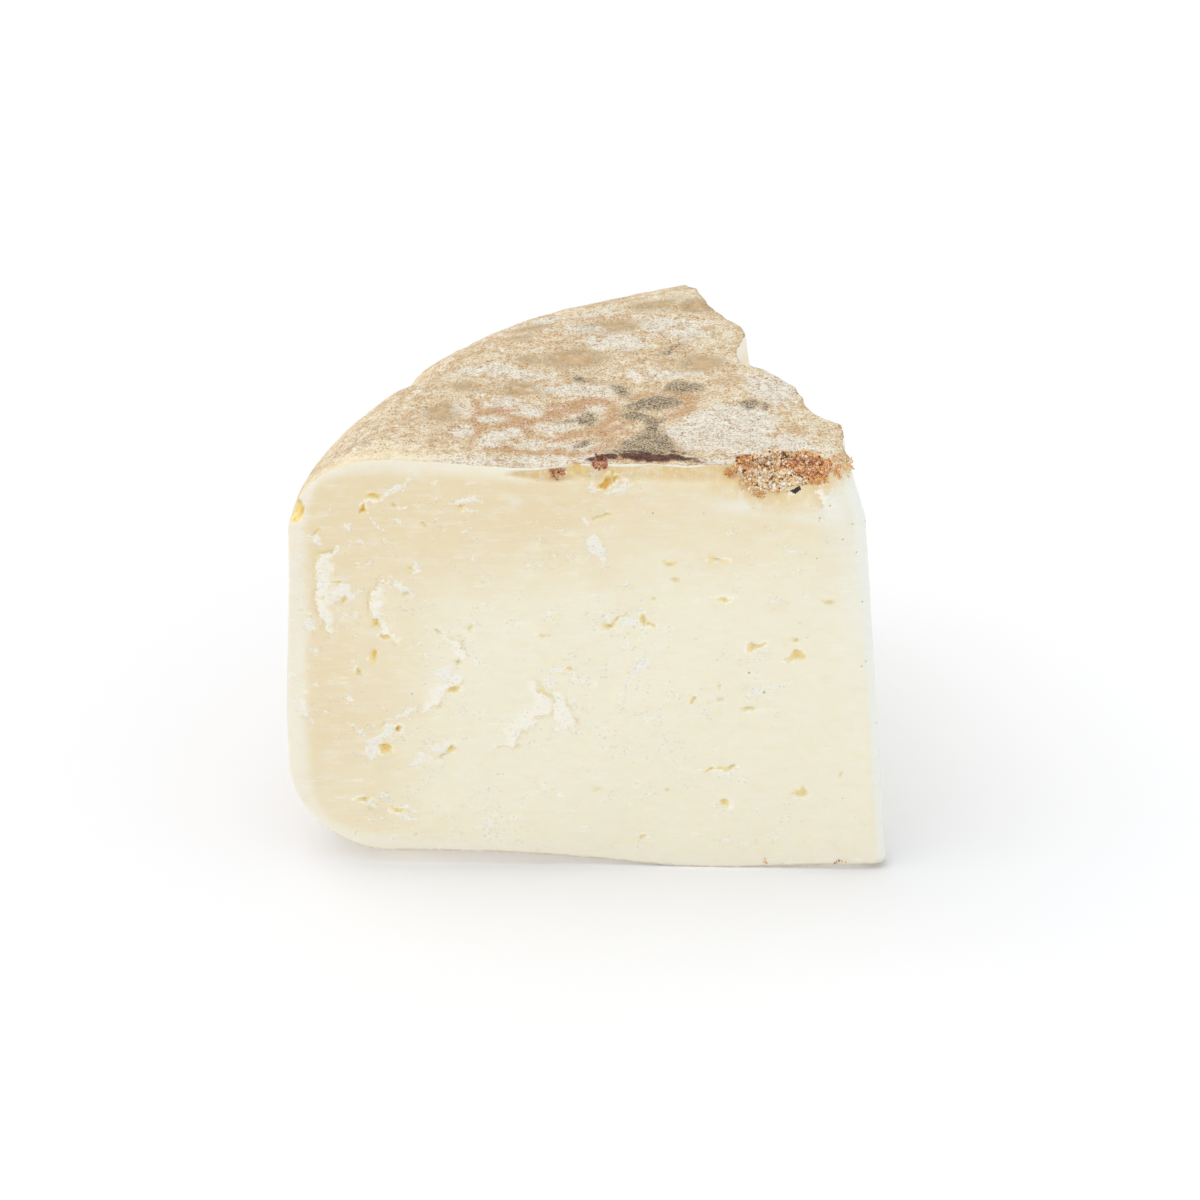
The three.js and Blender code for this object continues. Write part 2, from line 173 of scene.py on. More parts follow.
def shoulderAt(angle):
    share = smooth(0, wheel["shoulderTurn"], angle)
    front, back = wheel["frontShoulder"], wheel["backShoulder"]
    return lerp(front[0], back[0], share), lerp(front[1], back[1], share)


def sideProfile(t, angle):
    # the side, from halfway round the bottom corner to halfway over the shoulder
    across, tall = shoulderAt(angle)
    cornerAcross, cornerTall = wheel["bottomCorner"]
    cornerShare, shoulderShare = wheel["cornerShare"], wheel["shoulderShare"]
    low = cornerTurn * (1 - np.minimum(t, cornerShare) / cornerShare)
    high = cornerTurn * (1 - (1 - np.maximum(t, 1 - shoulderShare)) / shoulderShare)
    upright = np.clip((t - cornerShare) / (1 - cornerShare - shoulderShare), 0, 1)
    height = lerp(cornerTall, top - tall, upright) - cornerTall * np.sin(low) + tall * np.sin(high)
    inset = cornerAcross * (1 - np.cos(low)) + across * (1 - np.cos(high))
    return radiusAt(angle, height) - inset, height


def cornerFall(past, across, tall):
    share = np.clip(past / across, 0, halfway + wheel["cornerOverlap"])
    return tall * (1 - np.sqrt(1 - share * share))


def fromAxis(x, y):
    # radius, and angle round from the left
    back, left = y - wheel["axisY"], wheel["axisX"] - x
    return np.hypot(left, back), np.arctan2(back, left)


def topWave(x, y):
    sag, wave = wheel["sag"], wheel["topSwell"]
    sunk = sag["depth"] * bump(x - sag["x"], sag["width"]) * bump(y - frontY, sag["reach"])
    rough = sum(rise * fractal(x / across, y / back, seed, octaves)
                for rise, across, back, seed, octaves in wheel["topRough"])
    return wave["rise"] * swell(x / wave["across"], y / wave["back"], wave["phase"]) + rough - sunk


def topHeight(x, y):
    radius, angle = fromAxis(x, y)
    across, tall = shoulderAt(angle)
    past = radius - radiusAt(angle, top - tall * halfwayFall) + across
    return top - cornerFall(past, across, tall) + topWave(x, y)


def edgeLift(x, y):
    (leftHeight, leftRun), (tipHeight, tipRun) = cuts["leftLift"], cuts["tipLift"]
    left = leftHeight * smooth(0, leftRun, cuts["footX"] - x)
    tip = tipHeight * smooth(0, tipRun, x - cuts["footX"])
    return (left + tip) * falling(0, cuts["liftReach"], y - frontY)


def bottomHeight(x, y):
    radius, angle = fromAxis(x, y)
    across, tall = wheel["bottomCorner"]
    past = radius - radiusAt(angle, tall * halfwayFall) + across
    return cornerFall(past, across, tall) + edgeLift(x, y)


secondAlong = np.array([-math.cos(cuts["angle"]), math.sin(cuts["angle"])])
secondOut = np.array([math.sin(cuts["angle"]), math.cos(cuts["angle"])])
tipBack = cuts["tipRadius"] / math.tan(cuts["angle"] / 2)


def apexAt(z):
    crumbled = cuts["crumbleDepth"] * smooth(cuts["crumbleFrom"], top, z)
    return cuts["apexX"] + cuts["apexLean"] * (1 - z / top) - crumbled


def secondPoint(along, z):
    return apexAt(z) + along * secondAlong[0], frontY + along * secondAlong[1]


def secondLength(radius, z):
    startX, startY = apexAt(z) - wheel["axisX"], frontY - wheel["axisY"]
    half = startX * secondAlong[0] + startY * secondAlong[1]
    return -half + np.sqrt(half ** 2 + radius ** 2 - startX ** 2 - startY ** 2)


def rindPoint(t, angle):
    radius, height = sideProfile(t, angle)
    x = wheel["axisX"] - radius * np.cos(angle)
    y = wheel["axisY"] + radius * np.sin(angle)
    power = wheel["dieOut"]
    return x, y, height + topWave(x, y) * t ** power + edgeLift(x, y) * (1 - t) ** power


def frontAngle(t):
    angle = np.zeros(np.shape(t))
    for _ in range(settlingRounds):
        angle = np.arcsin((frontY - wheel["axisY"]) / sideProfile(t, angle)[0])
    return angle


def backAngle(t):
    angle = np.full(np.shape(t), cuts["angle"])
    for _ in range(settlingRounds):
        radius, height = sideProfile(t, angle)
        angle = fromAxis(*secondPoint(secondLength(radius, height), height))[1]
    return angle


def tipZ(t):
    foot = bottomHeight(cuts["apexX"] + cuts["apexLean"] - tipBack, frontY)
    return lerp(foot, topHeight(cuts["apexX"] - tipBack, frontY), t)


def frontEdges():
    def left(t):
        x, y, z = rindPoint(t, frontAngle(t))
        return x, z

    def right(t):
        return apexAt(tipZ(t)) - tipBack, tipZ(t)

    def bottom(s):
        x = lerp(left(np.zeros(1))[0], right(np.zeros(1))[0], s)
        return x, bottomHeight(x, frontY)

    def above(s):
        x = lerp(left(np.ones(1))[0], right(np.ones(1))[0], s)
        return x, topHeight(x, frontY)

    return left, right, bottom, above


def secondEdges():
    def settled(along, heightAt, z):
        for _ in range(settlingRounds):
            z = heightAt(*secondPoint(along, z))
        return along, z

    def left(t):
        return np.full(np.shape(t), tipBack), tipZ(t)

    def right(t):
        angle = backAngle(t)
        return secondLength(*sideProfile(t, angle)), rindPoint(t, angle)[2]

    def bottom(s):
        return settled(lerp(tipBack, right(np.zeros(1))[0], s), bottomHeight, 0)

    def above(s):
        return settled(lerp(tipBack, right(np.ones(1))[0], s), topHeight, top)

    return left, right, bottom, above


def patch(edges, s, t):
    # fills a four-sided patch from its edges
    left, right, bottom, above = edges
    first, last = np.zeros(1), np.ones(1)
    s, t = s[None, :], t[:, None]
    result = []
    for key in (0, 1):
        across = (1 - s) * left(t)[key] + s * right(t)[key]
        up = (1 - t) * bottom(s)[key] + t * above(s)[key]
        low = (1 - s) * bottom(first)[key] + s * bottom(last)[key]
        high = (1 - s) * above(first)[key] + s * above(last)[key]
        result.append(across + up - (1 - t) * low - t * high)
    return result


# marks of the front cut, in millimetres across and up

# eyes: x, z, width, height, tilt in degrees, how golden; past 1 an eye's middle is painted darker as shade,
# and at 2 it is painted black, the shade in a deep slit
frontEyes = [
    (-36.9, 73.3, 3, 1.7, 15, 0.9), (-39, 70.6, 1.5, 2.5, -10, 1.1), (-33.5, 71.6, 0.9, 1.3, 10, 0.5),
    (-46.9, 66.2, 1.6, 0.7, 15, 0.7), (-28.9, 68.1, 1, 1, 0, 0.5), (-22, 71.5, 1, 1.3, 0, 0.8),
    (-43.6, 56.5, 2.1, 0.9, 10, 0.8), (-42.4, 53.6, 1.8, 1.2, 0, 0.6), (-37.2, 48.3, 1.7, 1.5, 0, 0.8),
    (-35.4, 45.9, 2.3, 1.2, -10, 0.8), (-37.8, 42.1, 1.4, 1.9, -20, 1), (-40.1, 39.1, 1.3, 1.6, -15, 0.8),
    (-31.8, 54.7, 1.1, 0.8, 0, 0.6), (-26.1, 46.8, 1.2, 0.9, -20, 0.7), (-20.4, 47.5, 1.1, 1.1, 0, 0.6),
    (-22.9, 41, 1.8, 1.7, 0, 0.4), (-31.4, 59.8, 0.8, 1.6, 0, 0.5), (-23.8, 35.6, 2.4, 1.7, 0, 0.9),
    (-33.5, 27.4, 1, 0.9, -20, 1.3), (-36, 23.6, 2.8, 1.8, -20, 0.98), (-36, 28.4, 1.2, 1, 0, 0.4),
    (-26.1, 22.2, 2.6, 0.8, 8, 0.7), (-24.5, 23.4, 1.4, 1.5, 0, 0.9), (-40, 12.9, 2.2, 0.9, 5, 0.9),
    (-38.8, 10.7, 0.9, 0.6, 0, 0.8), (-34, 11.1, 2.4, 1.1, 0, 0.9), (-7.9, 46.6, 1.7, 0.8, 5, 0.7),
    (-3.9, 40.2, 1.6, 0.8, 0, 1), (3.4, 49, 2.6, 1.2, 25, 0.65), (4.6, 50.1, 1.9, 0.8, 25, 0.65),
    (8.9, 49.7, 1.7, 1.8, -10, 0.8), (10.2, 48.8, 2.4, 1, -20, 0.8), (10.9, 54.3, 1.2, 1, 0, 0.6),
    (2.5, 76, 3, 2, 25, 1.12), (4.4, 76.6, 2.4, 0.9, 5, 1.12), (3.3, 77.6, 0.8, 1.6, 0, 1),
    (-0.4, 77, 1.1, 0.4, -10, 0.9), (-2.3, 79, 1.7, 3, 0, 0.6), (2, 70, 4.8, 0.8, 5, 0.6),
    (-3.7, 71.8, 1.2, 0.5, -15, 0.5), (13.4, 61, 2.2, 0.9, 0, 0.8), (21.9, 62.2, 2.5, 1, 0, 0.8),
    (14.5, 57.8, 1.2, 1, 0, 0.6), (22.7, 54.6, 2.2, 0.8, 5, 0.9), (28.5, 45.1, 2.9, 1.5, 10, 0.85),
    (35.2, 46.4, 1, 1.3, 0, 0.7), (35.7, 43.3, 3.4, 1.4, 25, 0.85), (41.3, 54.4, 2.6, 1.1, 0, 0.5),
    (17.8, 34.2, 0.9, 0.9, 0, 0.9), (22.8, 34.5, 0.8, 1, 0, 0.4), (27.5, 32.2, 2.7, 1, 0, 0.75),
    (21.3, 20.5, 2.6, 0.9, 5, 1), (22.9, 20.5, 1.6, 0.4, 5, 1), (24.4, 20.9, 1.9, 1.2, 10, 0.8),
    (24.1, 13.5, 2, 1.3, -10, 0.9), (36.9, 15.5, 3, 1.3, 5, 0.75), (43.8, 19.2, 0.6, 1.8, -25, 0.4),
    (9.6, 6.5, 0.9, 0.8, 0, 0.9), (34.2, 75.6, 1.6, 0.6, 0, 2), (34.6, 75.8, 0.9, 0.8, 0, 2),
    (-1.3, 8.2, 0.8, 0.8, 0, 0.7), (1.3, 16, 1.7, 0.9, 0, 0.4), (13.7, 15.4, 0.8, 0.6, 0, 0.7),
]

# flakes that stand up from a torn edge and fade to the left of the walk along it: x, z, how far they fade
# their white, fading from the torn edge, is partly the curd's own colour and partly a painted highlight where
# the edge catches the light
frontFlakes = [
    [(-42.3, 63.7, 0.3), (-46.4, 61.8, 2.6), (-46.8, 58.5, 3.4), (-47.2, 54.5, 4.6), (-47, 51.5, 3.2),
     (-45.4, 47.6, 1.6), (-44.6, 46.4, 0.3)],
    [(-33.6, 57.4, 0.4), (-36.6, 56.4, 1.6), (-37.4, 53, 2.2), (-37.7, 50.4, 1.8), (-36.3, 48, 1.4),
     (-34.2, 45.2, 1), (-31.5, 44.6, 0.3)],
    [(-21.4, 41, 0.4), (-21.8, 43.2, 1.5), (-23.2, 45, 1.5), (-25.4, 45.6, 0.6), (-27.6, 47.4, 0.2)],
    [(-29.8, 31.4, 0.4), (-27, 32.2, 2.6), (-25.6, 34, 3.4), (-25.2, 35.4, 2.4), (-22.8, 37.2, 1.6),
     (-22.2, 39, 0.3)],
    [(-18.2, 23.4, 0.2), (-15.6, 24.4, 1), (-13, 24.4, 1.8), (-12.9, 26, 3.8), (-10.4, 28.6, 3.8),
     (-9.2, 30.4, 3.4), (-7, 31.9, 3.6), (-7.4, 33.8, 3.4), (-8.6, 35.6, 2.4), (-11.2, 38, 0.3)],
    [(-4.4, 27.8, 0.6), (-2.6, 28.6, 2.4), (-2.4, 30, 2.6), (-3.9, 31.7, 1.8), (-4.4, 33.6, 1),
     (-4.8, 35.2, 0.2)],
    [(38.6, 78.2, 0.4), (38.4, 75.6, 1.2), (39.4, 73.4, 1.6), (40.4, 71.4, 0.4)],
]

# white places where the paste tore: x, z, half-width, along each tear
frontTears = [
    [(-34.9, 74.1, 0.3), (-33.4, 75.1, 0.6), (-31.6, 75.6, 0.2)],
    [(-34.6, 70.2, 0.2), (-33.9, 69.5, 0.3), (-32.7, 69.2, 0.3)],
    [(-32.4, 71.2, 0.4), (-31.4, 71.3, 0.2)],
    [(-37.9, 68.8, 0.2), (-36.9, 67.4, 0.25), (-35.4, 66.6, 0.25)],
    [(-41.8, 67.4, 0.3), (-41, 67.5, 0.4)], [(-47, 65.4, 0.8), (-46.4, 64.6, 0.6)],
    [(-40.6, 65, 0.3), (-38.8, 64.3, 0.2)], [(-48.9, 48.4, 0.6), (-48.2, 47.9, 0.7)],
    [(-48, 43.2, 0.4), (-47.3, 43.6, 0.5)], [(-44.2, 54.6, 0.8), (-42.2, 55.3, 0.9), (-40.4, 54.3, 0.6)],
    [(-33.4, 56.2, 0.7), (-31.8, 55.4, 0.7), (-30.9, 54.1, 0.5)],
    [(-30.2, 61.2, 0.4), (-30, 59.6, 0.8), (-29.5, 58.8, 0.4)],
    [(-23.6, 72.4, 0.5), (-21.8, 73, 0.6), (-18.2, 74.1, 0.1)], [(-20.9, 71.3, 0.3), (-19.6, 71.4, 0.3)],
    [(-41.7, 33.9, 0.7), (-41.1, 33.3, 0.5)],
    [(-51.2, 33.2, 0.3), (-50.2, 32.9, 0.5), (-49.4, 31.4, 0.6), (-48.6, 29.4, 0.4)],
    [(-34, 30.4, 0.5), (-32.4, 31, 0.7), (-30.9, 32.1, 0.5)], [(-41.2, 27.3, 0.4), (-39.8, 26.5, 0.4)],
    [(-38.6, 22.2, 1), (-38.4, 23.8, 1.2), (-36.6, 25.8, 0.8), (-34.9, 27.6, 0.8)],
    [(-26.2, 38.6, 0.9), (-24.6, 38.6, 1.2), (-23.4, 37.8, 0.7)],
    [(-27.6, 24.4, 0.5), (-26.6, 23.9, 0.9), (-25.9, 23, 0.4)], [(-23.7, 24.6, 0.6), (-23.3, 23.9, 0.4)],
    [(-26.4, 21.2, 0.3), (-25.6, 21.3, 0.3)], [(-29.6, 22.2, 0.8), (-29.6, 21, 0.8), (-31.2, 20.2, 0.5)],
    [(-36.9, 14.8, 0.3), (-36, 13.6, 0.5), (-35, 13.6, 0.3)], [(-38.9, 12, 0.6), (-37.9, 11.6, 0.5)],
    [(-34, 9.8, 0.3), (-32.4, 9.2, 0.5), (-31.2, 8.5, 0.4)], [(-17.9, 8.4, 0.8), (-17.1, 8.4, 0.6)],
    [(-17.8, 15.1, 0.3), (-16.9, 15.1, 0.3)], [(-9.3, 16.6, 0.4), (-8.3, 16.3, 0.3), (-6.4, 15.6, 0.1)],
    [(-19.5, 41.8, 0.6), (-19.2, 41.2, 0.5)], [(-7, 40.4, 0.4), (-5.4, 40.3, 0.5)],
    [(-3.1, 39.2, 0.4), (-2.3, 38, 0.5)], [(-0.9, 37.6, 0.6), (0, 37.4, 0.5)],
    [(-7.9, 38.8, 0.2), (-7.2, 37.6, 0.8), (-6.2, 36.4, 0.3)],
    [(6.8, 38.3, 0.4), (8.2, 40, 0.7), (9.4, 41.2, 0.7), (9.8, 42.8, 0.3)],
    [(4.8, 32.2, 0.3), (6, 32.4, 0.4)], [(8.4, 31.5, 0.3), (9.3, 32.5, 0.3)],
    [(10.2, 30.7, 0.5), (11.2, 31, 0.3)],
    [(0.4, 65.2, 1), (1.4, 63.8, 1.4), (1.9, 61.6, 0.7), (1.9, 60.8, 0.3)],
    [(0.6, 49.6, 0.2), (2.4, 50.2, 0.4), (4, 51.2, 0.2)], [(6.2, 49.8, 0.8), (7, 49, 0.7)],
    [(8.2, 52, 0.4), (9.4, 51, 0.5)], [(3.2, 47.6, 0.5), (3.8, 47.4, 0.3)],
    [(-1.2, 69.8, 0.5), (-0.3, 69, 0.6), (-0.1, 68.4, 0.3)],
    [(-0.2, 75.4, 0.2), (0.2, 76.4, 0.4), (0, 77.2, 0.2)],
    [(0.4, 74.8, 0.2), (2.6, 74.4, 0.3), (4.6, 74.8, 0.3), (6.4, 76, 0.25), (8, 77, 0.2),
     (9.8, 77.5, 0.1)],
    [(22.5, 19.4, 0.4), (24.6, 19.5, 0.6)], [(22, 12.8, 0.5), (23, 12.9, 0.4)],
    [(36, 14.7, 0.3), (37.4, 14.8, 0.2)], [(23.4, 6, 0.4), (25.4, 5.3, 0.3), (27.5, 4.9, 0.4)],
    [(33.2, 64.5, 0.4), (36.8, 64.5, 0.2)],
    [(27.2, 35.6, 0.3), (29, 36.4, 0.5), (33, 37, 0.25), (35.4, 37.8, 0.1)],
]

# golden cracks: x, z, half-width; their gold is partly the paste's own colour, partly painted shade in the
# narrow groove
frontCracks = [
    [(-46.6, 60.8, 0.1), (-46.9, 58.4, 0.3), (-47.2, 55.6, 0.2), (-47.4, 53, 0.3), (-47, 50.6, 0.1)],
    [(-46.6, 62.4, 0.3), (-45, 63, 0.35), (-43.2, 63.2, 0.2)],
    [(-38, 54.8, 0.2), (-38.3, 52.2, 0.3), (-38.3, 50, 0.2)],
    [(-9.4, 36.9, 0.1), (-7.8, 35.7, 0.35), (-6.6, 34, 0.3), (-6.1, 32.3, 0.1)],
    [(-11.3, 17.8, 0.15), (-10.2, 17.2, 0.25), (-9.8, 16.4, 0.2)], [(31.2, 52, 0.1), (32, 52.6, 0.2)],
    [(32, 53.4, 0.1), (34.5, 53.7, 0.15)], [(20.4, 54.2, 0.05), (23, 54.8, 0.15), (25.6, 54.9, 0.05)],
    [(-36.6, 24.6, 0.1), (-35.2, 26.2, 0.15)],
]

# fine torn curd, drawn with a seed: x, z, reach, number of white bits
frontCurd = {
    "seed": 8,
    "size": (0.1, 0.32),
    "pinShare": 0.2,  # of the bits are little golden holes instead
    "zones": [
        (-43, 55, 6, 26), (-36, 50, 6, 16), (-26, 43, 6, 20), (-38, 26, 8, 22), (-27, 23, 6, 16),
        (-36, 12, 7, 26), (-17, 11, 8, 28), (-12, 30, 7, 18), (-2, 36, 6, 20), (6, 49, 6, 16),
        (9, 33, 7, 20), (-35, 68, 9, 18), (-17, 63, 9, 18), (-45, 35, 7, 18), (15, 8, 14, 22),
        (30, 62, 14, 18), (36, 10, 10, 16), (2, 70, 9, 14), (25, 40, 14, 26), (10, 22, 14, 26),
        (-8, 54, 12, 20),
    ],
}

relief = {
    "terraces": [  # broad flakes that tore away: x, z, wide, high, depth
        (-30, 52, 15, 12, 0.4), (-37, 14, 12, 8, 0.4), (6, 44, 12, 9, 0.3),
    ],
    "terraceFade": (0.6, 1.2),
    "terraceRagged": (0.25, 3, 5.3),  # how far, how broadly, seed
    "clouds": [  # paler places: x, z, wide, high, share
        (25.5, 72.4, 4.5, 1.3, 0.6), (40.5, 73, 2.2, 5, 0.5), (36, 70.5, 4, 1, 0.4),
        (-12.6, 73, 1.2, 0.8, 0.6),
    ],
    "groove": {
        "left": (-15, 3),  # from here it deepens over this distance
        "slant": (5, 1.4),  # how much farther right it starts for each millimetre below this
        "right": (29, 31),
        "top": (0.1, 1.2),
        "bottom": (2.6, 4.2),
        "waves": 0.5,
        "depth": 0.9,
        "rough": 0.25,
    },
    "lip": {"share": 0.85, "tall": (0.4, 0.9), "starts": (-17, -13)},  # pale, above the groove
    "tipPale": {"share": 0.6, "wide": (0, 7), "grows": (20, 75)},  # pale beside the tip, more higher up: partly the paste's paler colour, partly painted light, the glow and highlight of the thin tip
    "swell": {"rise": 0.3, "across": 9, "up": 8, "phase": 0.4},
    # a wall runs from where a mark's depth begins to where it is full, in millimetres inside its outline
    "eye": {"depth": 0.55, "wall": (-0.1, 0.5)},
    "crack": {"depth": 0.22, "wall": (-0.15, 0.35)},
    "tear": {"rise": 0.14, "wall": (-0.15, 0.35)},
    "flake": {"rise": 0.24, "wall": (-0.25, 0.15), "foot": 0.1, "footAt": 0.5, "footWide": 0.4},
    "grain": 0.05,
    "tip": {"rough": 0.12, "paleFrom": (0, 0.35), "warmth": 0.2},
    "secondPale": {"less": 0.75, "along": (2, 26)},  # pale beside the tip: partly the paste's paler colour, partly painted light, the glow and highlight of the thin tip
    "rind": {"rough": 0.22, "size": 3.5},
    "calm": {"front": (0.02, 0.015), "second": (0.05, 0.05), "rind": (0.03, 0.03)},  # a row's smooth ends
    "rims": (0.3, 2),  # the front's and the second cut's marks sink in over these distances from an edge
}
outside = -3.0  # what a field of distances says far from any mark
markReach = 4  # farther than this from its box a stroke doesn't count


ragged = {  # how far, how broadly and with which seed places are moved about
    "front": [(0.7, 1.7, 4.4), (0.35, 0.7, 8.4)],
    "second": [(0.4, 1.1, 9.4)],
    "rind": [(0.8, 2.8, 7.7), (0.4, 1.1, 2.1)],
}


def wander(x, z, kind):
    # moves places about a little, so that what is drawn there comes out ragged
    for reach, size, seed in ragged[kind]:
        aside, up = noise(x / size, z / size, seed), noise(x / size, z / size, seed + 3.7)
        x, z = x + reach * aside, z + reach * up
    return x, z


def rounded(points, steps=5):
    # a smooth walk through listed points
    points = np.array(points)
    padded = np.concatenate([2 * points[:1] - points[1:2], points, 2 * points[-1:] - points[-2:-1]])
    walk = []
    for before, start, end, after in zip(padded, padded[1:], padded[2:], padded[3:]):
        for share in np.arange(steps) / steps:
            bend = (2 * before - 5 * start + 4 * end - after) * share ** 2
            twist = (3 * start - before - 3 * end + after) * share ** 3
            walk.append(0.5 * (2 * start + (end - before) * share + bend + twist))
    return walk + [points[-1]]


def nearStroke(x, z, stroke):
    # the places close enough to a stroke to matter
    spots = np.array(stroke)[:, :2]
    low, high = spots.min(0) - markReach, spots.max(0) + markReach
    return (x > low[0]) & (x < high[0]) & (z > low[1]) & (z < high[1])


def toSegment(x, z, start, end):
    # how far places are from a stretch of a stroke, on which side of it, and its width there
    runX, runZ = end[0] - start[0], end[1] - start[1]
    length = max(1e-6, runX ** 2 + runZ ** 2)
    share = np.clip(((x - start[0]) * runX + (z - start[1]) * runZ) / length, 0, 1)
    awayX, awayZ = x - start[0] - share * runX, z - start[1] - share * runZ
    return np.hypot(awayX, awayZ), np.sign(runX * awayZ - runZ * awayX), lerp(start[2], end[2], share)


def strokeField(x, z, strokes):
    # how far inside the nearest stroke a place is, below 0 outside
    field = np.full(x.shape, outside)
    for stroke in strokes:
        near = nearStroke(x, z, stroke)
        for start, end in zip(stroke, stroke[1:]):
            distance, _, width = toSegment(x[near], z[near], start, end)
            field[near] = np.maximum(field[near], width - distance)
    return field


flakeEnds = {"least": 0.05, "grows": (0.1, 1.2), "reach": 1.2}  # of how far a flake fades, and past its edge


def flakeField(x, z, flakes):
    # how much of a flake stands, from 1 at its torn edge down to 0, and how far behind the edge a place is
    height, edge = np.zeros(x.shape), np.full(x.shape, outside)
    for flake in map(rounded, flakes):
        near = nearStroke(x, z, flake)
        nearest = np.full(near.sum(), 9.0)
        behind, fade = -nearest, np.full(near.sum(), flakeEnds["least"])
        for start, end in zip(flake, flake[1:]):
            distance, side, width = toSegment(x[near], z[near], start, end)
            closer = distance < nearest
            nearest = np.where(closer, distance, nearest)
            behind = np.where(closer, distance * side, behind)
            fade = np.where(closer, np.maximum(width, flakeEnds["least"]), fade)
        stands = np.clip(1 - behind / fade, 0, 1) * smooth(*flakeEnds["grows"], fade)
        inReach = nearest < fade + flakeEnds["reach"]
        height[near] = np.maximum(height[near], np.where(inReach, stands, 0))
        edge[near] = np.maximum(edge[near], np.where(inReach, np.maximum(behind, outside), outside))
    return height, edge


def insideOval(x, y, midX, midY, halfWide, halfHigh, tilt):
    # how far inside a tilted oval a place is, below 0 outside
    turn = math.radians(tilt)
    across = (x - midX) * math.cos(turn) + (y - midY) * math.sin(turn)
    up = (y - midY) * math.cos(turn) - (x - midX) * math.sin(turn)
    return (1 - np.hypot(across / halfWide, up / halfHigh)) * min(halfWide, halfHigh)


def eyeField(x, z, eyes):
    # how far inside the nearest eye a place is, below 0 outside, and how golden that eye is, which past 1
    # also sets how much shade is painted in it
    field, gold = np.full(x.shape, outside), np.zeros(x.shape)
    for eyeX, eyeZ, wide, high, tilt, golden in eyes:
        inside = insideOval(x, z, eyeX, eyeZ, wide / 2, high / 2, tilt)
        gold = np.where(inside > field, golden, gold)
        field = np.maximum(field, inside)
    return field, gold


curdShape = {
    "spread": 0.6,  # of a zone's reach
    "holeWide": 2.4,  # of the drawn size, and so is the next
    "holeHigh": 1.6,
    "holeTilt": 30,
    "holeGold": (0.4, 0.8),
    "bitTurn": 0.5,  # radians
    "bitLength": 1.2,
    "bitTaper": 0.6,
}


def drawCurd(curd):
    # little white bits and golden holes, closer together in the middle of each zone
    rng = np.random.default_rng(curd["seed"])
    shape = curdShape
    tilt, turnMost = shape["holeTilt"], shape["bitTurn"]
    bits, holes = [], []
    for x, z, reach, count in curd["zones"]:
        for _ in range(count):
            spot = (x + rng.normal() * reach * shape["spread"], z + rng.normal() * reach * shape["spread"])
            size = rng.uniform(*curd["size"])
            if rng.random() < curd["pinShare"]:
                oval = (size * shape["holeWide"], size * shape["holeHigh"], rng.uniform(-tilt, tilt))
                holes.append((*spot, *oval, rng.uniform(*shape["holeGold"])))
            else:
                turn, length = rng.uniform(-turnMost, turnMost), rng.uniform(0, shape["bitLength"])
                end = (spot[0] + length * math.cos(turn), spot[1] + length * math.sin(turn))
                bits.append([(*spot, size), (*end, size * shape["bitTaper"])])
    return bits, holes


def grooveDepth(x, inTop):
    groove = relief["groove"]
    (left, grows), (lean, leansFrom) = groove["left"], groove["slant"]
    below = inTop + groove["waves"] * noise(x / 3.5, inTop / 3, 2.4)
    start = left + lean * np.maximum(0, below - leansFrom)
    along = smooth(start, start + grows, x) * falling(*groove["right"], x)
    return along * smooth(*groove["top"], below) * falling(*groove["bottom"], below)


def terraceDepth(x, z):
    total = 0
    reach, size, seed = relief["terraceRagged"]
    for midX, midZ, wide, high, depth in relief["terraces"]:
        distance = np.hypot((x - midX) / wide, (z - midZ) / high)
        distance = distance + reach * noise(x / size, z / size, seed)
        total = total + depth * falling(*relief["terraceFade"], distance)
    return total


def pasteGrain(x, z, seed):
    # faint drag of the knife and the fine curd of the paste
    drag = 0.3 * noise(x / 12, z / 1.3, seed) + 0.3 * noise(x / 6, z / 0.8, seed + 3)
    return relief["grain"] * (drag + 1.1 * fractal(x / 1.9, z / 1.5, seed + 6))


def softLeast(distances, softness=1.2):
    # the least of some distances, with its corners rounded off
    total = sum(np.exp(-np.asarray(distance) / softness) for distance in distances)
    return -softness * np.log(total)


def frontMarks(x, z):
    bits, holes = drawCurd(frontCurd)
    x, z = wander(x, z, "front")
    marks = {"torn": strokeField(x, z, frontTears + bits), "crack": strokeField(x, z, frontCracks)}
    marks["flake"], marks["edge"] = flakeField(x, z, frontFlakes)
    marks["eye"], marks["gold"] = eyeField(x, z, frontEyes + holes)
    return marks


def markDepth(marks, x, z):
    # how deep the eyes and cracks go, less how far the torn flakes stand out
    eye, crack, tear, flake = (relief[key] for key in ("eye", "crack", "tear", "flake"))
    pit = eye["depth"] * smooth(*eye["wall"], marks["eye"])
    split = crack["depth"] * smooth(*crack["wall"], marks["crack"])
    rough = 0.7 + 0.6 * fractal(x / 0.9, z / 0.9, 3.3, 2)
    rise = flake["rise"] * marks["flake"] * smooth(*flake["wall"], marks["edge"])
    rise = rise + tear["rise"] * smooth(*tear["wall"], marks["torn"])
    foot = flake["foot"] * marks["flake"] * bump(marks["edge"] + flake["footAt"], flake["footWide"])
    return np.maximum(pit, split) + foot - rise * rough * falling(0, 0.3, marks["eye"])


# the second cut has marks of its own, drawn with a seed

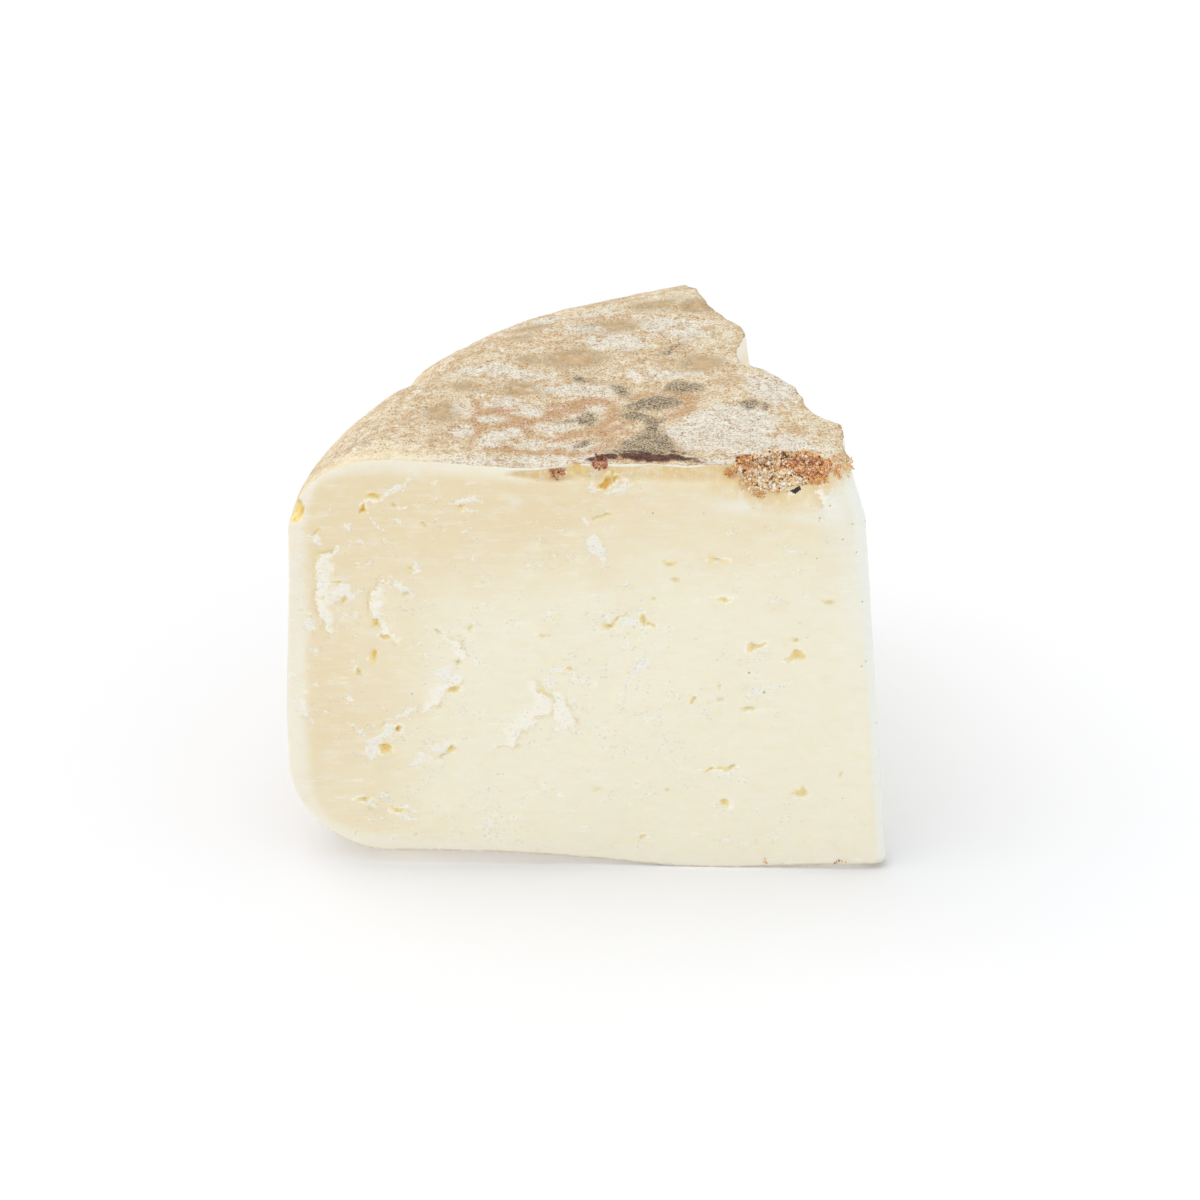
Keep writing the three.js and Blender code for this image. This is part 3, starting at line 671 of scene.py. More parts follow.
secondCurd = {
    "seed": 5,
    "size": (0.2, 0.75),
    "pinShare": 0.35,
    "zones": [(18, 60, 12, 16), (40, 40, 18, 40), (62, 58, 12, 18), (30, 18, 14, 20), (66, 26, 14, 26)],
}
secondFlakes = [
    [(24, 52, 0.3), (22.6, 48, 2.6), (24.2, 44, 3.2), (23.4, 40.5, 0.4)],
    [(50, 24, 0.3), (54, 26.4, 2.8), (57.6, 31, 3.4), (57, 35, 0.4)],
    [(44, 64, 0.3), (41.6, 61, 2.2), (42, 57, 2), (43.4, 54.6, 0.3)],
]


def secondSideMarks(along, z):
    bits, holes = drawCurd(secondCurd)
    along, z = wander(along, z, "second")
    marks = {"torn": strokeField(along, z, bits), "crack": np.full(along.shape, outside)}
    marks["flake"], marks["edge"] = flakeField(along, z, secondFlakes)
    marks["eye"], marks["gold"] = eyeField(along, z, holes)
    return marks


# where the rind broke unevenly along the second cut: along, out, width
brokenRind = [(14, 3.2, 5), (28.5, 1.4, 4), (44.5, -4, 5.5), (57, 1.6, 4.5), (68, -0.8, 6)]
brokenDown = (1, 11)  # below the top it dies out over this distance


def secondRelief(along, z):
    broken = sum(out * bump(along - middle, width) for middle, out, width in brokenRind)
    frayed = 0.6 * noise(along / 3.2, 4.4, 1.5) + 0.35 * fractal(along / 1.1, z / 2.5, 6.5)
    drag = 0.35 * swell(along / 9, z / 8, 6.6)
    return (broken + frayed) * falling(*brokenDown, top - z) + drag


# hollows that take away a corner: the broken corner and the eye laid open at the rind

brokenCorner = {
    "middle": (33.1, frontY - 3, top + 2.8),
    "half": (10.5, 8.4, 8.2),
    "lean": (0.15, 0, 0),
    "lumps": (0.1, 2.6),  # share of its size, and how wide
    "grit": (0.06, 1.1),
}
edgeEye = {
    "middle": (-50.6, frontY - 0.6, 70.6),
    "half": (1.9, 2.6, 2.7),
    "push": (0.75, 0.66, 0.1),
    "depth": 1.7,
    "ragged": 0.12,
}


def breakCorner(points):
    # pushes what is inside the hollow out to its uneven wall, and says what share of the way there it was
    (lumpShare, lumpSize), (gritShare, gritSize) = brokenCorner["lumps"], brokenCorner["grit"]
    drop = points[:, 2] - brokenCorner["middle"][2]
    middle = np.array(brokenCorner["middle"]) + np.outer(drop, brokenCorner["lean"])
    half = np.array(brokenCorner["half"])
    offset = (points - middle) / half
    distance = np.maximum(1e-3, np.linalg.norm(offset, axis=1))
    wall = 1 + lumpShare * noise(*(points / lumpSize).T) + gritShare * fractal(*(points / gritSize).T)
    grow = np.maximum(1, wall / distance)
    return middle + offset * grow[:, None] * half, distance / wall


def openEdgeEye(points):
    # pushes the rind in where an eye was laid open, and says how far inside that eye each point is
    offset = (points - np.array(edgeEye["middle"])) / np.array(edgeEye["half"])
    inside = 1 - np.linalg.norm(offset, axis=1) + edgeEye["ragged"] * noise(*(points / 0.8).T)
    push = edgeEye["depth"] * smooth(-0.1, 0.5, inside)
    return points + push[:, None] * np.array(edgeEye["push"]), inside


# marks of the rind's top, in millimetres across and back

# x, y, half-width, half-depth, tilt in degrees
rindPatches = {
    "mould": [
        (10.8, -21.9, 4.2, 2.6, 5), (7.4, -22.9, 2, 1.8, 0), (7.3, -26.8, 2.5, 1.8, -5),
        (10.3, -29, 1.8, 1.8, 0), (10.3, -32.4, 1.1, 2.6, 0), (10, -35.6, 2.8, 2.2, 0),
        (9.6, -38.4, 4.8, 2, 0), (9.4, -40.6, 5.8, 1.3, 0), (-0.9, -27, 1.6, 2.5, 10),
        (-4, -27.8, 1.9, 0.7, 5), (-1.3, -36.3, 1.6, 0.8, 40), (13.1, -0.2, 2.2, 0.7, 50),
        (15.4, -16, 3.2, 2.2, 0), (4.8, -17.2, 1.2, 2, 20), (-2.2, -13, 1.8, 0.7, -25),
        (27, -22.5, 1.2, 1.5, 0), (29.5, -23.2, 0.8, 0.9, 0),
    ],
    "tan": [
        (-4, -4.6, 6.8, 3.9, -3), (-11.2, -5, 2.8, 2.2, 0), (-12.8, -16.4, 3.8, 3.2, 0),
        (-9, -17.6, 2.6, 1.2, 0), (-14.5, 4.6, 3.6, 1.3, 5), (18.6, -6.4, 4.4, 3.8, 20),
        (-22.5, -15.5, 2.8, 2.4, 0), (-26, -26, 3, 5, 0), (3, 8.5, 7, 2.4, 15), (-12, 10, 4, 2, 20),
        (18, 18, 4, 3, 0), (10, 18.5, 6, 2.6, 20),
    ],
    "white": [
        (-20, -8.6, 5.4, 2.2, 0), (-12.6, -10.6, 4.6, 1.8, -8), (-15, -21.6, 2.8, 1.7, 5),
        (-17.6, -27.5, 1.9, 1.7, 0), (-13.6, -31.8, 3, 1.8, 30), (-17, -35.4, 2.4, 2.2, 50),
        (-6.2, -30.2, 4, 1.5, 10), (-11, -24, 2.6, 2, 25), (-11.4, -35.4, 3.4, 1.8, 10),
        (-7, -36.6, 1.8, 1.2, 0), (-22.6, -32.6, 2, 1.8, 0), (-22.4, -24, 1.2, 2.2, 0),
        (-3.4, -25.6, 1.8, 1, 0), (0.8, -23.4, 1.6, 1.6, 0), (-1.6, -37.4, 3, 1.6, 5),
        (-1.4, -16.8, 7.4, 2, -4), (10.6, 8.6, 3.4, 2.4, -40), (13, 11, 5, 1.8, 0), (-1, 14, 4, 1.8, 20),
        (12, -10.5, 6, 1.6, 0), (24, -29, 8, 6, 0), (28, -37, 10, 4, 0), (31, -16, 4.5, 6, 20),
        (-9, -41.4, 9, 1.5, 0), (17, -34, 4.5, 5, 0), (-8, -43.8, 9, 0.8, 0), (22, -43.2, 5, 1.2, 0),
        (-24, -43.4, 12, 1.6, 0), (11.3, -37.6, 1.2, 0.9, 0), (3, 2, 6, 3, 0), (16.5, 6.5, 4, 2.6, 0),
        (-3, 7, 3.4, 1.4, 0), (-9, 13, 3, 1.6, 0),
    ],
    "yellow": [
        (13.5, 21.5, 6.5, 4, 30), (21, -1.4, 2.6, 2.6, 0), (22.5, 7, 3, 6, 0), (28.5, -10, 3, 5, 35),
        (37.5, -27, 3, 5, 25), (-35, -40, 9, 3, 0), (-27.8, -39, 1, 1, 0), (-22.5, -42, 1.4, 0.7, 0),
        (3, 18, 5, 2.5, 30), (40.5, -37, 2, 5, 0),
    ],
}

# veins and streaks: x, y, half-width
rindLines = {
    "vein": [
        [(-8.4, -27, 0.9), (-7, -24.6, 1.1), (-5, -22.2, 1.5), (-1.6, -20.9, 1.4), (1.2, -20.6, 0.8),
         (2.9, -22, 0.7), (3.8, -24.6, 0.8), (3.4, -27.4, 0.8), (1.8, -29.8, 0.7), (0.4, -31.2, 0.7)],
        [(-4.6, -23.4, 0.9), (-2.4, -22.6, 1.1)],
        [(-8.6, -27, 0.6), (-11, -28.2, 0.8), (-13.6, -27.8, 1.3), (-13.9, -25.2, 0.6),
         (-15.4, -23.9, 0.8), (-17.6, -24.2, 0.9), (-19.8, -25.6, 0.5)],
        [(-20.2, -21.4, 0.3), (-20.3, -25, 0.4), (-20, -29, 0.4), (-19.3, -31.6, 0.6),
         (-19.8, -34.2, 0.4), (-20.4, -37, 0.4)],
        [(-19.2, -31.6, 0.5), (-17, -30.2, 0.4), (-14, -29.4, 0.6), (-11.8, -29.6, 0.5),
         (-10.9, -31.6, 0.4), (-10.4, -33.6, 0.3)],
        [(-7.6, -34.2, 0.5), (-5.6, -34, 0.7), (-3.4, -32.6, 0.8), (-0.8, -31.8, 0.9), (2.2, -32.2, 0.7),
         (5, -31, 0.6), (6, -33.4, 0.5)],
        [(-17.8, -38.6, 0.4), (-14.4, -37.5, 0.5), (-11.6, -38.6, 0.4), (-8, -38.6, 0.6),
         (-5.6, -37.6, 0.5), (-5, -39.4, 0.5), (-1.8, -40, 0.5), (1.6, -39.2, 0.6), (3.4, -37, 0.6),
         (3.2, -34.6, 0.6), (1.6, -33, 0.5)],
        [(6.6, -19.6, 0.3), (9.8, -18.2, 0.5), (12.6, -17.6, 0.6), (15.4, -18.8, 0.9), (16.9, -21.2, 0.9),
         (16.8, -23.8, 0.7), (15, -26.4, 0.8), (12.6, -27.8, 0.7)],
        [(6.4, -28.4, 0.3), (5.6, -29.8, 0.5)],
    ],
    "streak": [
        [(0.2, -42.6, 0.7), (2.4, -42.3, 1), (5, -42, 0.6), (7.4, -42.1, 1.1), (9.6, -42.3, 1.3),
         (12, -42.6, 1), (14.4, -42.4, 1), (16.6, -42.6, 0.6), (18.4, -42.8, 0.2)],
        [(6, -40.4, 0.3), (9, -40.8, 0.6), (12, -41, 0.4)], [(13.4, -40.2, 0.3), (15.8, -40.4, 0.5)],
    ],
    "rust": [
        [(-0.4, -43, 0.6), (2.6, -43.4, 0.9)],
        [(4, -42.6, 0.3), (8, -43.1, 0.6), (13, -43.4, 0.5), (19, -43.4, 0.2)],
    ],
}
rindNames = tuple(rindPatches) + tuple(rindLines)

# on the side and underside the same kinds of marks are scattered: strength, how much is left out, size
rindScatter = {
    "mould": (1.9, 1.0, 6),
    "white": (2.2, 0.35, 9),
    "tan": (2.0, 0.5, 8),
    "yellow": (2.0, 0.4, 11),
    "vein": (1.6, 0.9, 7),
}
rindSide = {"below": 2.5, "over": 6}  # these take over a little below the top
rindPale = {
    "rim": {"share": 0.4, "down": (1.5, 6), "gone": (22, 40)},  # below the top
    "corner": {"share": 0.9, "back": (0, 8), "across": (-34, -16)},  # at the left end of the front cut
}


def patchField(x, y, patches):
    # how far inside the nearest patch a place is, below 0 outside
    return np.maximum(outside, np.max([insideOval(x, y, *oval) for oval in patches], axis=0))


def rindFields(x, y, z):
    warpX, warpY = wander(x, y, "rind")
    marks = {name: patchField(warpX, warpY, patches) for name, patches in rindPatches.items()}
    marks.update({name: strokeField(warpX, warpY, lines) for name, lines in rindLines.items()})
    away = smooth(0, rindSide["over"], top - rindSide["below"] - z)
    turned = fromAxis(x, y)[1] * wheel["radius"]
    for index, name in enumerate(rindNames):
        scattered = outside
        if name in rindScatter:
            strength, less, size = rindScatter[name]
            scattered = 2 * (strength * fractal(turned / size, z / size, y / 20 + 2.7 * index) - less)
        marks[name] = lerp(marks[name], np.maximum(scattered, outside), away)
    rim, corner = rindPale["rim"], rindPale["corner"]
    ring = smooth(*rim["down"], top - z) * falling(*rim["gone"], top - z)
    end = falling(*corner["back"], y - frontY) * falling(*corner["across"], x)
    marks["pale"] = np.maximum(rim["share"] * ring, corner["share"] * end)
    return marks


# the wedge's mesh

wedge = {
    "frontColumns": 252,
    "tipColumns": 8,
    "secondColumns": 96,
    "rindColumns": 84,
    "rows": 204,  # up the front; the other sides have half as many
    "rowCrowding": 1.35,
    "edgeSteps": (0.15, 0.4, 0.7),  # extra columns close to each edge, in shares of a column
    "topSpacing": 0.6,
    "bottomSpacing": 2.0,
    "capJitter": 0.12,  # of the spacing, and so is the next
    "capClearance": 0.45,
    "capSeed": 3,
}


def shares(count):
    # evenly spaced shares from 0 to 1, with extra ones close to the ends
    close = np.array(wedge["edgeSteps"]) / count
    return np.unique(np.concatenate([np.linspace(0, 1, count + 1), close, 1 - close]))


def addObject(name, data):
    made = bpy.data.objects.new(name, data)
    bpy.context.scene.collection.objects.link(made)
    return made


def addLayer(mesh, name, values):
    layer = mesh.attributes.new(name, "FLOAT", "POINT")
    layer.data.foreach_set("value", values.astype(np.float32))


# shades of a cut, in millimetres from the rind
shades = {
    "side": {"grows": (1, 5), "fades": (8, 36), "share": (0.45, 0.85), "middle": 36, "spread": 22},
    "top": {"grows": (0.5, 4), "fades": (7, 36), "share": (0.95, 0.6), "weakens": (32, 70)},
    "foot": {"grows": (0.5, 4), "fades": (5, 18), "share": 0.08},
    "shoulder": {"fades": (0.5, 4.5), "reach": (16, 34), "share": 0.8},
    "band": {"fades": (0.8, 4.8), "footFades": (1, 5), "footShare": 0.6},
    "footThins": [(1.6, 8, 30), (4, 34, 60)],  # by how much, between these distances from the side
    "hem": (0.1, 0.5),
}


def pasteZones(inSide, inTop, inBottom, z):
    # the paste is pale close under the rind, warm a few millimetres further in, and pale again in its heart
    side, above, foot, shoulder, band = (shades[key] for key in ("side", "top", "foot", "shoulder", "band"))
    thinner = sum(thins * smooth(start, end, inSide) for thins, start, end in shades["footThins"])
    fromRind = softLeast([inSide, inBottom + thinner])
    sideShare = lerp(*side["share"], bump(z - side["middle"], side["spread"]))
    aboveShare = lerp(*above["share"], smooth(*above["weakens"], inSide))
    warmSide = smooth(*side["grows"], fromRind) * falling(*side["fades"], inSide) * sideShare
    warmTop = smooth(*above["grows"], inTop) * falling(*above["fades"], inTop) * aboveShare
    warmFoot = foot["share"] * smooth(*foot["grows"], inBottom) * falling(*foot["fades"], inBottom)
    paleTop = shoulder["share"] * falling(*shoulder["fades"], inTop) * falling(*shoulder["reach"], inSide)
    paleFoot = band["footShare"] * falling(*band["footFades"], inBottom)
    return {
        "warmth": 1 - (1 - warmSide) * (1 - warmTop) * (1 - warmFoot),
        "band": np.maximum(falling(*band["fades"], fromRind), np.maximum(paleTop, paleFoot)),
        "hem": falling(*shades["hem"], inBottom),
    }


def inFromEdges(edges, s, t, x, z):
    # how far each place is from the left, right, bottom and top edge of its patch
    left, right, bottom, above = edges
    s, t = s[None, :], t[:, None]
    return x - left(t)[0], right(t)[0] - x, z - bottom(s)[1], above(s)[1] - z


def calmEnds(s, side):
    # 0 at both ends of a row, and 1 a little way in
    first, last = relief["calm"][side]
    return smooth(0, first, s)[None, :] * smooth(1, 1 - last, s)[None, :]


def frontGrid(s, t):
    x, z = patch(frontEdges(), s, t)
    inSide, inTip, inBottom, inTop = inFromEdges(frontEdges(), s, t, x, z)
    groove = grooveDepth(x, inTop)
    marks = frontMarks(x, z)
    marks.update(pasteZones(inSide, inTop, inBottom, z))
    lip, tipPale, wave = relief["lip"], relief["tipPale"], relief["swell"]
    paleLip = lip["share"] * falling(*lip["tall"], inTop) * smooth(*lip["starts"], x)
    paleTip = tipPale["share"] * falling(*tipPale["wide"], inTip) * smooth(*tipPale["grows"], z)
    clouds = sum(share * bump(np.hypot((x - midX) / wide, (z - midZ) / high), 1)
                 for midX, midZ, wide, high, share in relief["clouds"])
    marks["groove"] = groove
    marks["strip"] = np.clip(np.maximum(paleTip, paleLip) + clouds, 0, 1)
    slow = wave["rise"] * swell(x / wave["across"], z / wave["up"], wave["phase"])
    hollow = slow + terraceDepth(x, z) + relief["groove"]["depth"] * groove
    rim = smooth(0, relief["rims"][0], softLeast([inSide, inTop, inBottom]))
    y = frontY + hollow * calmEnds(s, "front")
    y = y + pasteGrain(x, z, 0) + markDepth(marks, x, z) * rim
    return x, y + groove * relief["groove"]["rough"] * fractal(x / 2.5, z / 1.2, 5.1), z, marks


def tipGrid(s, t):
    z = tipZ(t)[:, None] + 0 * s[None, :]
    turn = -math.pi / 2 + s[None, :] * (math.pi - cuts["angle"])
    x = apexAt(z) - tipBack + cuts["tipRadius"] * np.cos(turn)
    y = frontY + cuts["tipRadius"] * (1 + np.sin(turn)) + 0 * z
    tip, tipPale = relief["tip"], relief["tipPale"]
    rough = tip["rough"] * fractal(z / 1.8, x / 2, 3.5)
    # the rounded tip takes the pale strip tone, partly painted light: the glow and highlight of the thin tip
    strip = lerp(tipPale["share"] * smooth(*tipPale["grows"], z), 1, smooth(*tip["paleFrom"], s[None, :]))
    return x - rough, y, z, {"strip": strip, "warmth": tip["warmth"] + 0 * z}


def secondGrid(s, t):
    along, z = patch(secondEdges(), s, t)
    x, y = secondPoint(along, z)
    _, inSide, inBottom, inTop = inFromEdges(secondEdges(), s, t, along, z)
    marks = secondSideMarks(along, z)
    marks.update(pasteZones(inSide, inTop, inBottom, z))
    pale = relief["secondPale"]
    marks["strip"] = 1 - pale["less"] * smooth(*pale["along"], along)
    calm = calmEnds(s, "second")
    rim = smooth(0, relief["rims"][1], softLeast([inSide, inTop, inBottom]))
    out = secondRelief(along, z) * calm - pasteGrain(along, z, 9)
    out = out - markDepth(marks, along, z) * rim * calm
    return x + out * secondOut[0], y + out * secondOut[1], z, marks


def rindGrid(s, t):
    angle = lerp(backAngle(t)[:, None], frontAngle(t)[:, None], s[None, :])
    x, y, z = rindPoint(t[:, None], angle)
    along, rind = angle * wheel["radius"], relief["rind"]
    rough = rind["rough"] * fractal(along / rind["size"], z / rind["size"], 4.1, 4) * calmEnds(s, "rind")
    return x + rough * np.cos(angle), y - rough * np.sin(angle), z, {}


def insideOutline(x, y, outline):
    # which points are inside an outline, and how far each is from it
    inside = np.zeros(len(x), bool)
    nearest = np.full(len(x), 1e9)
    for (startX, startY), (endX, endY) in zip(outline, np.roll(outline, -1, axis=0)):
        runX, runY = endX - startX, endY - startY
        if startY != endY:
            crosses = (startY > y) != (endY > y)
            inside ^= crosses & (x < startX + (y - startY) / runY * runX)
        length = max(runX ** 2 + runY ** 2, 1e-9)
        share = np.clip(((x - startX) * runX + (y - startY) * runY) / length, 0, 1)
        nearest = np.minimum(nearest, np.hypot(x - startX - share * runX, y - startY - share * runY))
    return inside, nearest


def capPoints(outline, spacing, heightAt):
    # fills an outline with points in staggered rows and joins them into triangles
    low, high = outline.min(0), outline.max(0)
    rowGap = spacing * math.sqrt(0.75)
    rowCount = int((high[1] - low[1]) / rowGap) + 1
    columnCount = int((high[0] - low[0]) / spacing) + 2
    row, column = np.meshgrid(np.arange(rowCount), np.arange(columnCount), indexing="ij")
    most = wedge["capJitter"]
    rng = np.random.default_rng(wedge["capSeed"])
    jitter = rng.uniform(-most, most, (2, rowCount, columnCount)) * spacing
    x = (low[0] + (column + 0.5 * (row % 2)) * spacing + jitter[0]).ravel()
    y = (low[1] + row * rowGap + jitter[1]).ravel()
    inside, nearest = insideOutline(x, y, outline)
    keep = inside & (nearest > wedge["capClearance"] * spacing)
    x, y = x[keep], y[keep]
    count = len(outline)
    flat = [Vector(p) for p in outline] + [Vector(p) for p in np.stack([x, y], 1)]
    edges = [(index, (index + 1) % count) for index in range(count)]
    found = delaunay_2d_cdt(flat, edges, [], 1, 1e-7)
    original = [sources[0] if sources else -1 for sources in found[3]]
    triangles = np.array([[original[corner] for corner in face] for face in found[2]])
    assert triangles.min() >= 0, "the outline crosses itself"
    return np.stack([x, y, heightAt(x, y)], 1), triangles


# what a point has where a mark isn't drawn: distances are far outside, and the rest are shares
quiet = dict.fromkeys(("torn", "crack", "eye", "edge"), outside)
quiet.update(dict.fromkeys(("gold", "flake", "warmth", "band", "hem", "groove", "strip"), 0.0))


def joinColumns(fine, coarse, flip):
    # joins a column of points to one with half as many
    low, middle, high = fine[:-2:2], fine[1::2], fine[2::2]
    near, far = coarse[:-1], coarse[1:]
    sets = [(low, near, middle), (middle, near, far), (middle, far, high)]
    return [np.stack(corners[::-1] if flip else corners, -1) for corners in sets]


def buildWedge():
    rows = wedge["rows"]
    t = 1 - (1 - np.arange(rows + 1) / rows) ** wedge["rowCrowding"]
    t[-1] = 1
    grids = [
        frontGrid(shares(wedge["frontColumns"]), t),
        tipGrid(np.linspace(0, 1, wedge["tipColumns"] + 1)[1:-1], t[::2]),
        secondGrid(shares(wedge["secondColumns"])[:-1], t[::2]),
        rindGrid(shares(wedge["rindColumns"])[:-1], t[::2]),
    ]
    points, fields, indexGrids, count = [], {name: [] for name in quiet}, [], 0
    for x, y, z, marks in grids:
        shape = np.broadcast(x, y, z).shape
        size = shape[0] * shape[1]
        points.append(np.stack([np.broadcast_to(v, shape).ravel() for v in (x, y, z)], 1))
        for name, value in quiet.items():
            fields[name].append(np.broadcast_to(marks.get(name, value), shape).ravel())
        indexGrids.append(np.arange(count, count + size).reshape(shape))
        count += size
    full, half = indexGrids[0], np.concatenate(indexGrids[1:], axis=1)
    pasteColumns = indexGrids[1].shape[1] + indexGrids[2].shape[1]

    faces, isRind = [], []

    def addFaces(corners, rind):
        faces.extend(corners.tolist())
        isRind.append(np.broadcast_to(rind, len(corners)))

    for grid, rindFrom in ((full, full.shape[1]), (half, pasteColumns)):
        corners = np.stack([grid[:-1, :-1], grid[:-1, 1:], grid[1:, 1:], grid[1:, :-1]], -1)
        rind = np.broadcast_to(np.arange(grid.shape[1] - 1) >= rindFrom, corners.shape[:2])
        addFaces(corners.reshape(-1, 4), rind.ravel())
    for fineColumn, coarseColumn, atRind in ((-1, 0, False), (0, -1, True)):
        for corners in joinColumns(full[:, fineColumn], half[:, coarseColumn], atRind):
            addFaces(corners, atRind)

    # the top and the underside
    sides = np.concatenate(points)
    caps = [(-1, wedge["topSpacing"], topHeight, False), (0, wedge["bottomSpacing"], bottomHeight, True)]
    for row, spacing, heightAt, flip in caps:
        loop = np.concatenate([full[row], half[row]])
        inner, triangles = capPoints(sides[loop][:, :2], spacing, heightAt)
        index = np.concatenate([loop, np.arange(count, count + len(inner))])
        corners = index[triangles]
        addFaces(corners[:, ::-1] if flip else corners, True)
        points.append(inner)
        count += len(inner)
        for name, value in quiet.items():
            fields[name].append(np.full(len(inner), value))

    fields = {name: np.concatenate(values) for name, values in fields.items()}
    points, fields["edgeEye"] = openEdgeEye(np.concatenate(points))
    points, fields["crust"] = breakCorner(points)
    points[:, 2] = np.maximum(points[:, 2], 0)
    fields.update(rindFields(*points.T))

    mesh = bpy.data.meshes.new("cheeseWedge")
    mesh.from_pydata(points * mm, [], faces)
    mesh.polygons.foreach_set("material_index", np.concatenate(isRind).astype(np.int32))
    mesh.polygons.foreach_set("use_smooth", np.ones(len(mesh.polygons), bool))
    for name, values in fields.items():
        addLayer(mesh, name, values)
    return addObject("cheeseWedge", mesh)


cheeseWedge = buildWedge()
triangleCount = sum(len(face.vertices) - 2 for face in cheeseWedge.data.polygons)
print("wedge built,", len(cheeseWedge.data.vertices), "points,", triangleCount, "triangles")


# shader maths

class Value:
    # an output socket that can be used in plain arithmetic
    def __init__(self, paint, socket):
        self.paint = paint
        self.socket = socket

    def combine(self, operation, *values):
        return self.paint.node("ShaderNodeMath", {"operation": operation}, dict(enumerate(values)))

    def __add__(self, other):
        return self.combine("ADD", self, other)

    def __sub__(self, other):
        return self.combine("SUBTRACT", self, other)

    def __rsub__(self, other):
        return self.combine("SUBTRACT", other, self)

    def __mul__(self, other):
        return self.combine("MULTIPLY", self, other)

    __radd__ = __add__
    __rmul__ = __mul__

    def within(self, low, high):
        # 0 below low, 1 above high, smooth between
        sockets = {"Value": self, "From Min": low, "From Max": high}
        return self.paint.node("ShaderNodeMapRange", {"interpolation_type": "SMOOTHSTEP"}, sockets)

    def most(self, other):
        return self.combine("MAXIMUM", self, other)


class Paint:
    # one material and the nodes in it
    def __init__(self, name):
        self.material = bpy.data.materials.new(name)
        self.material.use_nodes = True
        self.tree = self.material.node_tree
        self.tree.nodes.clear()

    def node(self, kind, settings=None, sockets=None, output=0):
        node = self.tree.nodes.new(kind)
        for name, setting in (settings or {}).items():
            if name == "stops":
                ramp = node.color_ramp
                while len(ramp.elements) < len(setting):
                    ramp.elements.new(0.5)
                for element, (place, colour) in zip(ramp.elements, setting):
                    element.position, element.color = place, colour
            else:
                setattr(node, name, setting)
        for name, value in (sockets or {}).items():
            if isinstance(value, Value):
                self.tree.links.new(value.socket, node.inputs[name])
            else:
                node.inputs[name].default_value = value
        return Value(self, node.outputs[output]) if node.outputs else None

    def field(self, name):
        return self.node("ShaderNodeAttribute", {"attribute_name": name}, output="Fac")

    def place(self, stretch=(1, 1, 1)):
        # the point's place in millimetres, stretched
        spot = self.node("ShaderNodeTexCoord", output="Object")
        return self.scaled(spot, tuple(1000 * share for share in stretch))

    def scaled(self, vector, sizes):
        return self.node("ShaderNodeVectorMath", {"operation": "MULTIPLY"}, {0: vector, 1: sizes})

    def slant(self, vector, degrees):
        return self.node("ShaderNodeMapping", None, {0: vector, "Rotation": (0, math.radians(degrees), 0)})

    def noise(self, place, scale, detail=3.0, roughness=0.55):
        sockets = {"Vector": place, "Scale": scale, "Detail": detail, "Roughness": roughness}
        return self.node("ShaderNodeTexNoise", None, sockets)

    def grains(self, place, scale, output="Distance"):
        return self.node("ShaderNodeTexVoronoi", None, {"Vector": place, "Scale": scale}, output)

    def split(self, vector, key):
        return self.node("ShaderNodeSeparateXYZ", None, {0: vector}, key)

    def dots(self, place, scale, size, share, key):
        # dots scattered one to a cell, in a share of the cells
        uneven = self.noise(place, scale * 4, 2) - 0.5
        chance = self.split(self.grains(place, scale, "Color"), key)
        spot = (self.grains(place, scale) + uneven * 0.3).within(size, size * 0.5)
        return spot * chance.within(1 - share, 1.04 - share)

    def mix(self, share, first, second):
        return self.node("ShaderNodeMix", {"data_type": "RGBA"}, {0: share, 6: first, 7: second}, 2)

    def coats(self, colour, look, coats):
        # lays coats over a colour, each a tone or its name in the look, and where it lies
        for tone, mask in coats:
            colour = self.mix(mask, colour, look[tone] if isinstance(tone, str) else tone)
        return colour

    def ramp(self, value, stops):
        return self.node("ShaderNodeValToRGB", {"stops": stops}, {0: value})

    def bumped(self, height, distance):
        return self.node("ShaderNodeBump", None, {"Height": height, "Distance": distance * mm})

    def finish(self, surface):
        principled = self.node("ShaderNodeBsdfPrincipled", None, surface)
        self.node("ShaderNodeOutputMaterial", None, {"Surface": principled})
        return self.material


def tone(red, green, blue, dim):
    # a colour as it is seen on a screen, in the shader's linear light, dimmed to suit the studio
    def linear(value):
        share = value / 255
        return dim * (share / 12.92 if share <= 0.04045 else ((share + 0.055) / 1.055) ** 2.4)
    return (linear(red), linear(green), linear(blue), 1)


def tones(colours, dim):
    return {name: tone(*colour, dim) for name, colour in colours.items()}


# the crumbly crust at the broken corner

crustLook = tones({
    "dark": (66, 38, 28),
    "ember": (150, 82, 56),
    "russet": (200, 134, 94),
    "pink": (228, 176, 138),
    "orange": (240, 174, 98),
    "gold": (248, 210, 140),
    "cream": (242, 224, 192),
    "white": (252, 247, 236),
}, 1.0)


crustStops = (0, 0.1, 0.25, 0.42, 0.58, 0.68, 0.82, 1)


def crustColour(paint, grain):
    # from dark crumbs through pink and orange ones to white granules
    return paint.ramp(grain, list(zip(crustStops, crustLook.values())))


def crustBed(paint, place, grit):
    # the crust's colours between its crumbs; its darker tones are partly the crust's own and partly painted
    # shade in the gaps between crumbs
    granule = paint.split(paint.grains(place, 2.0, "Color"), 0)
    return crustColour(paint, granule * 0.7 + grit * 0.8)


def milkGlow(weight, depth):
    # light that soaks into the cheese, the warm part of it deepest
    return {"Subsurface Weight": weight, "Subsurface Radius": (1.0, 0.7, 0.4), "Subsurface Scale": depth * mm}


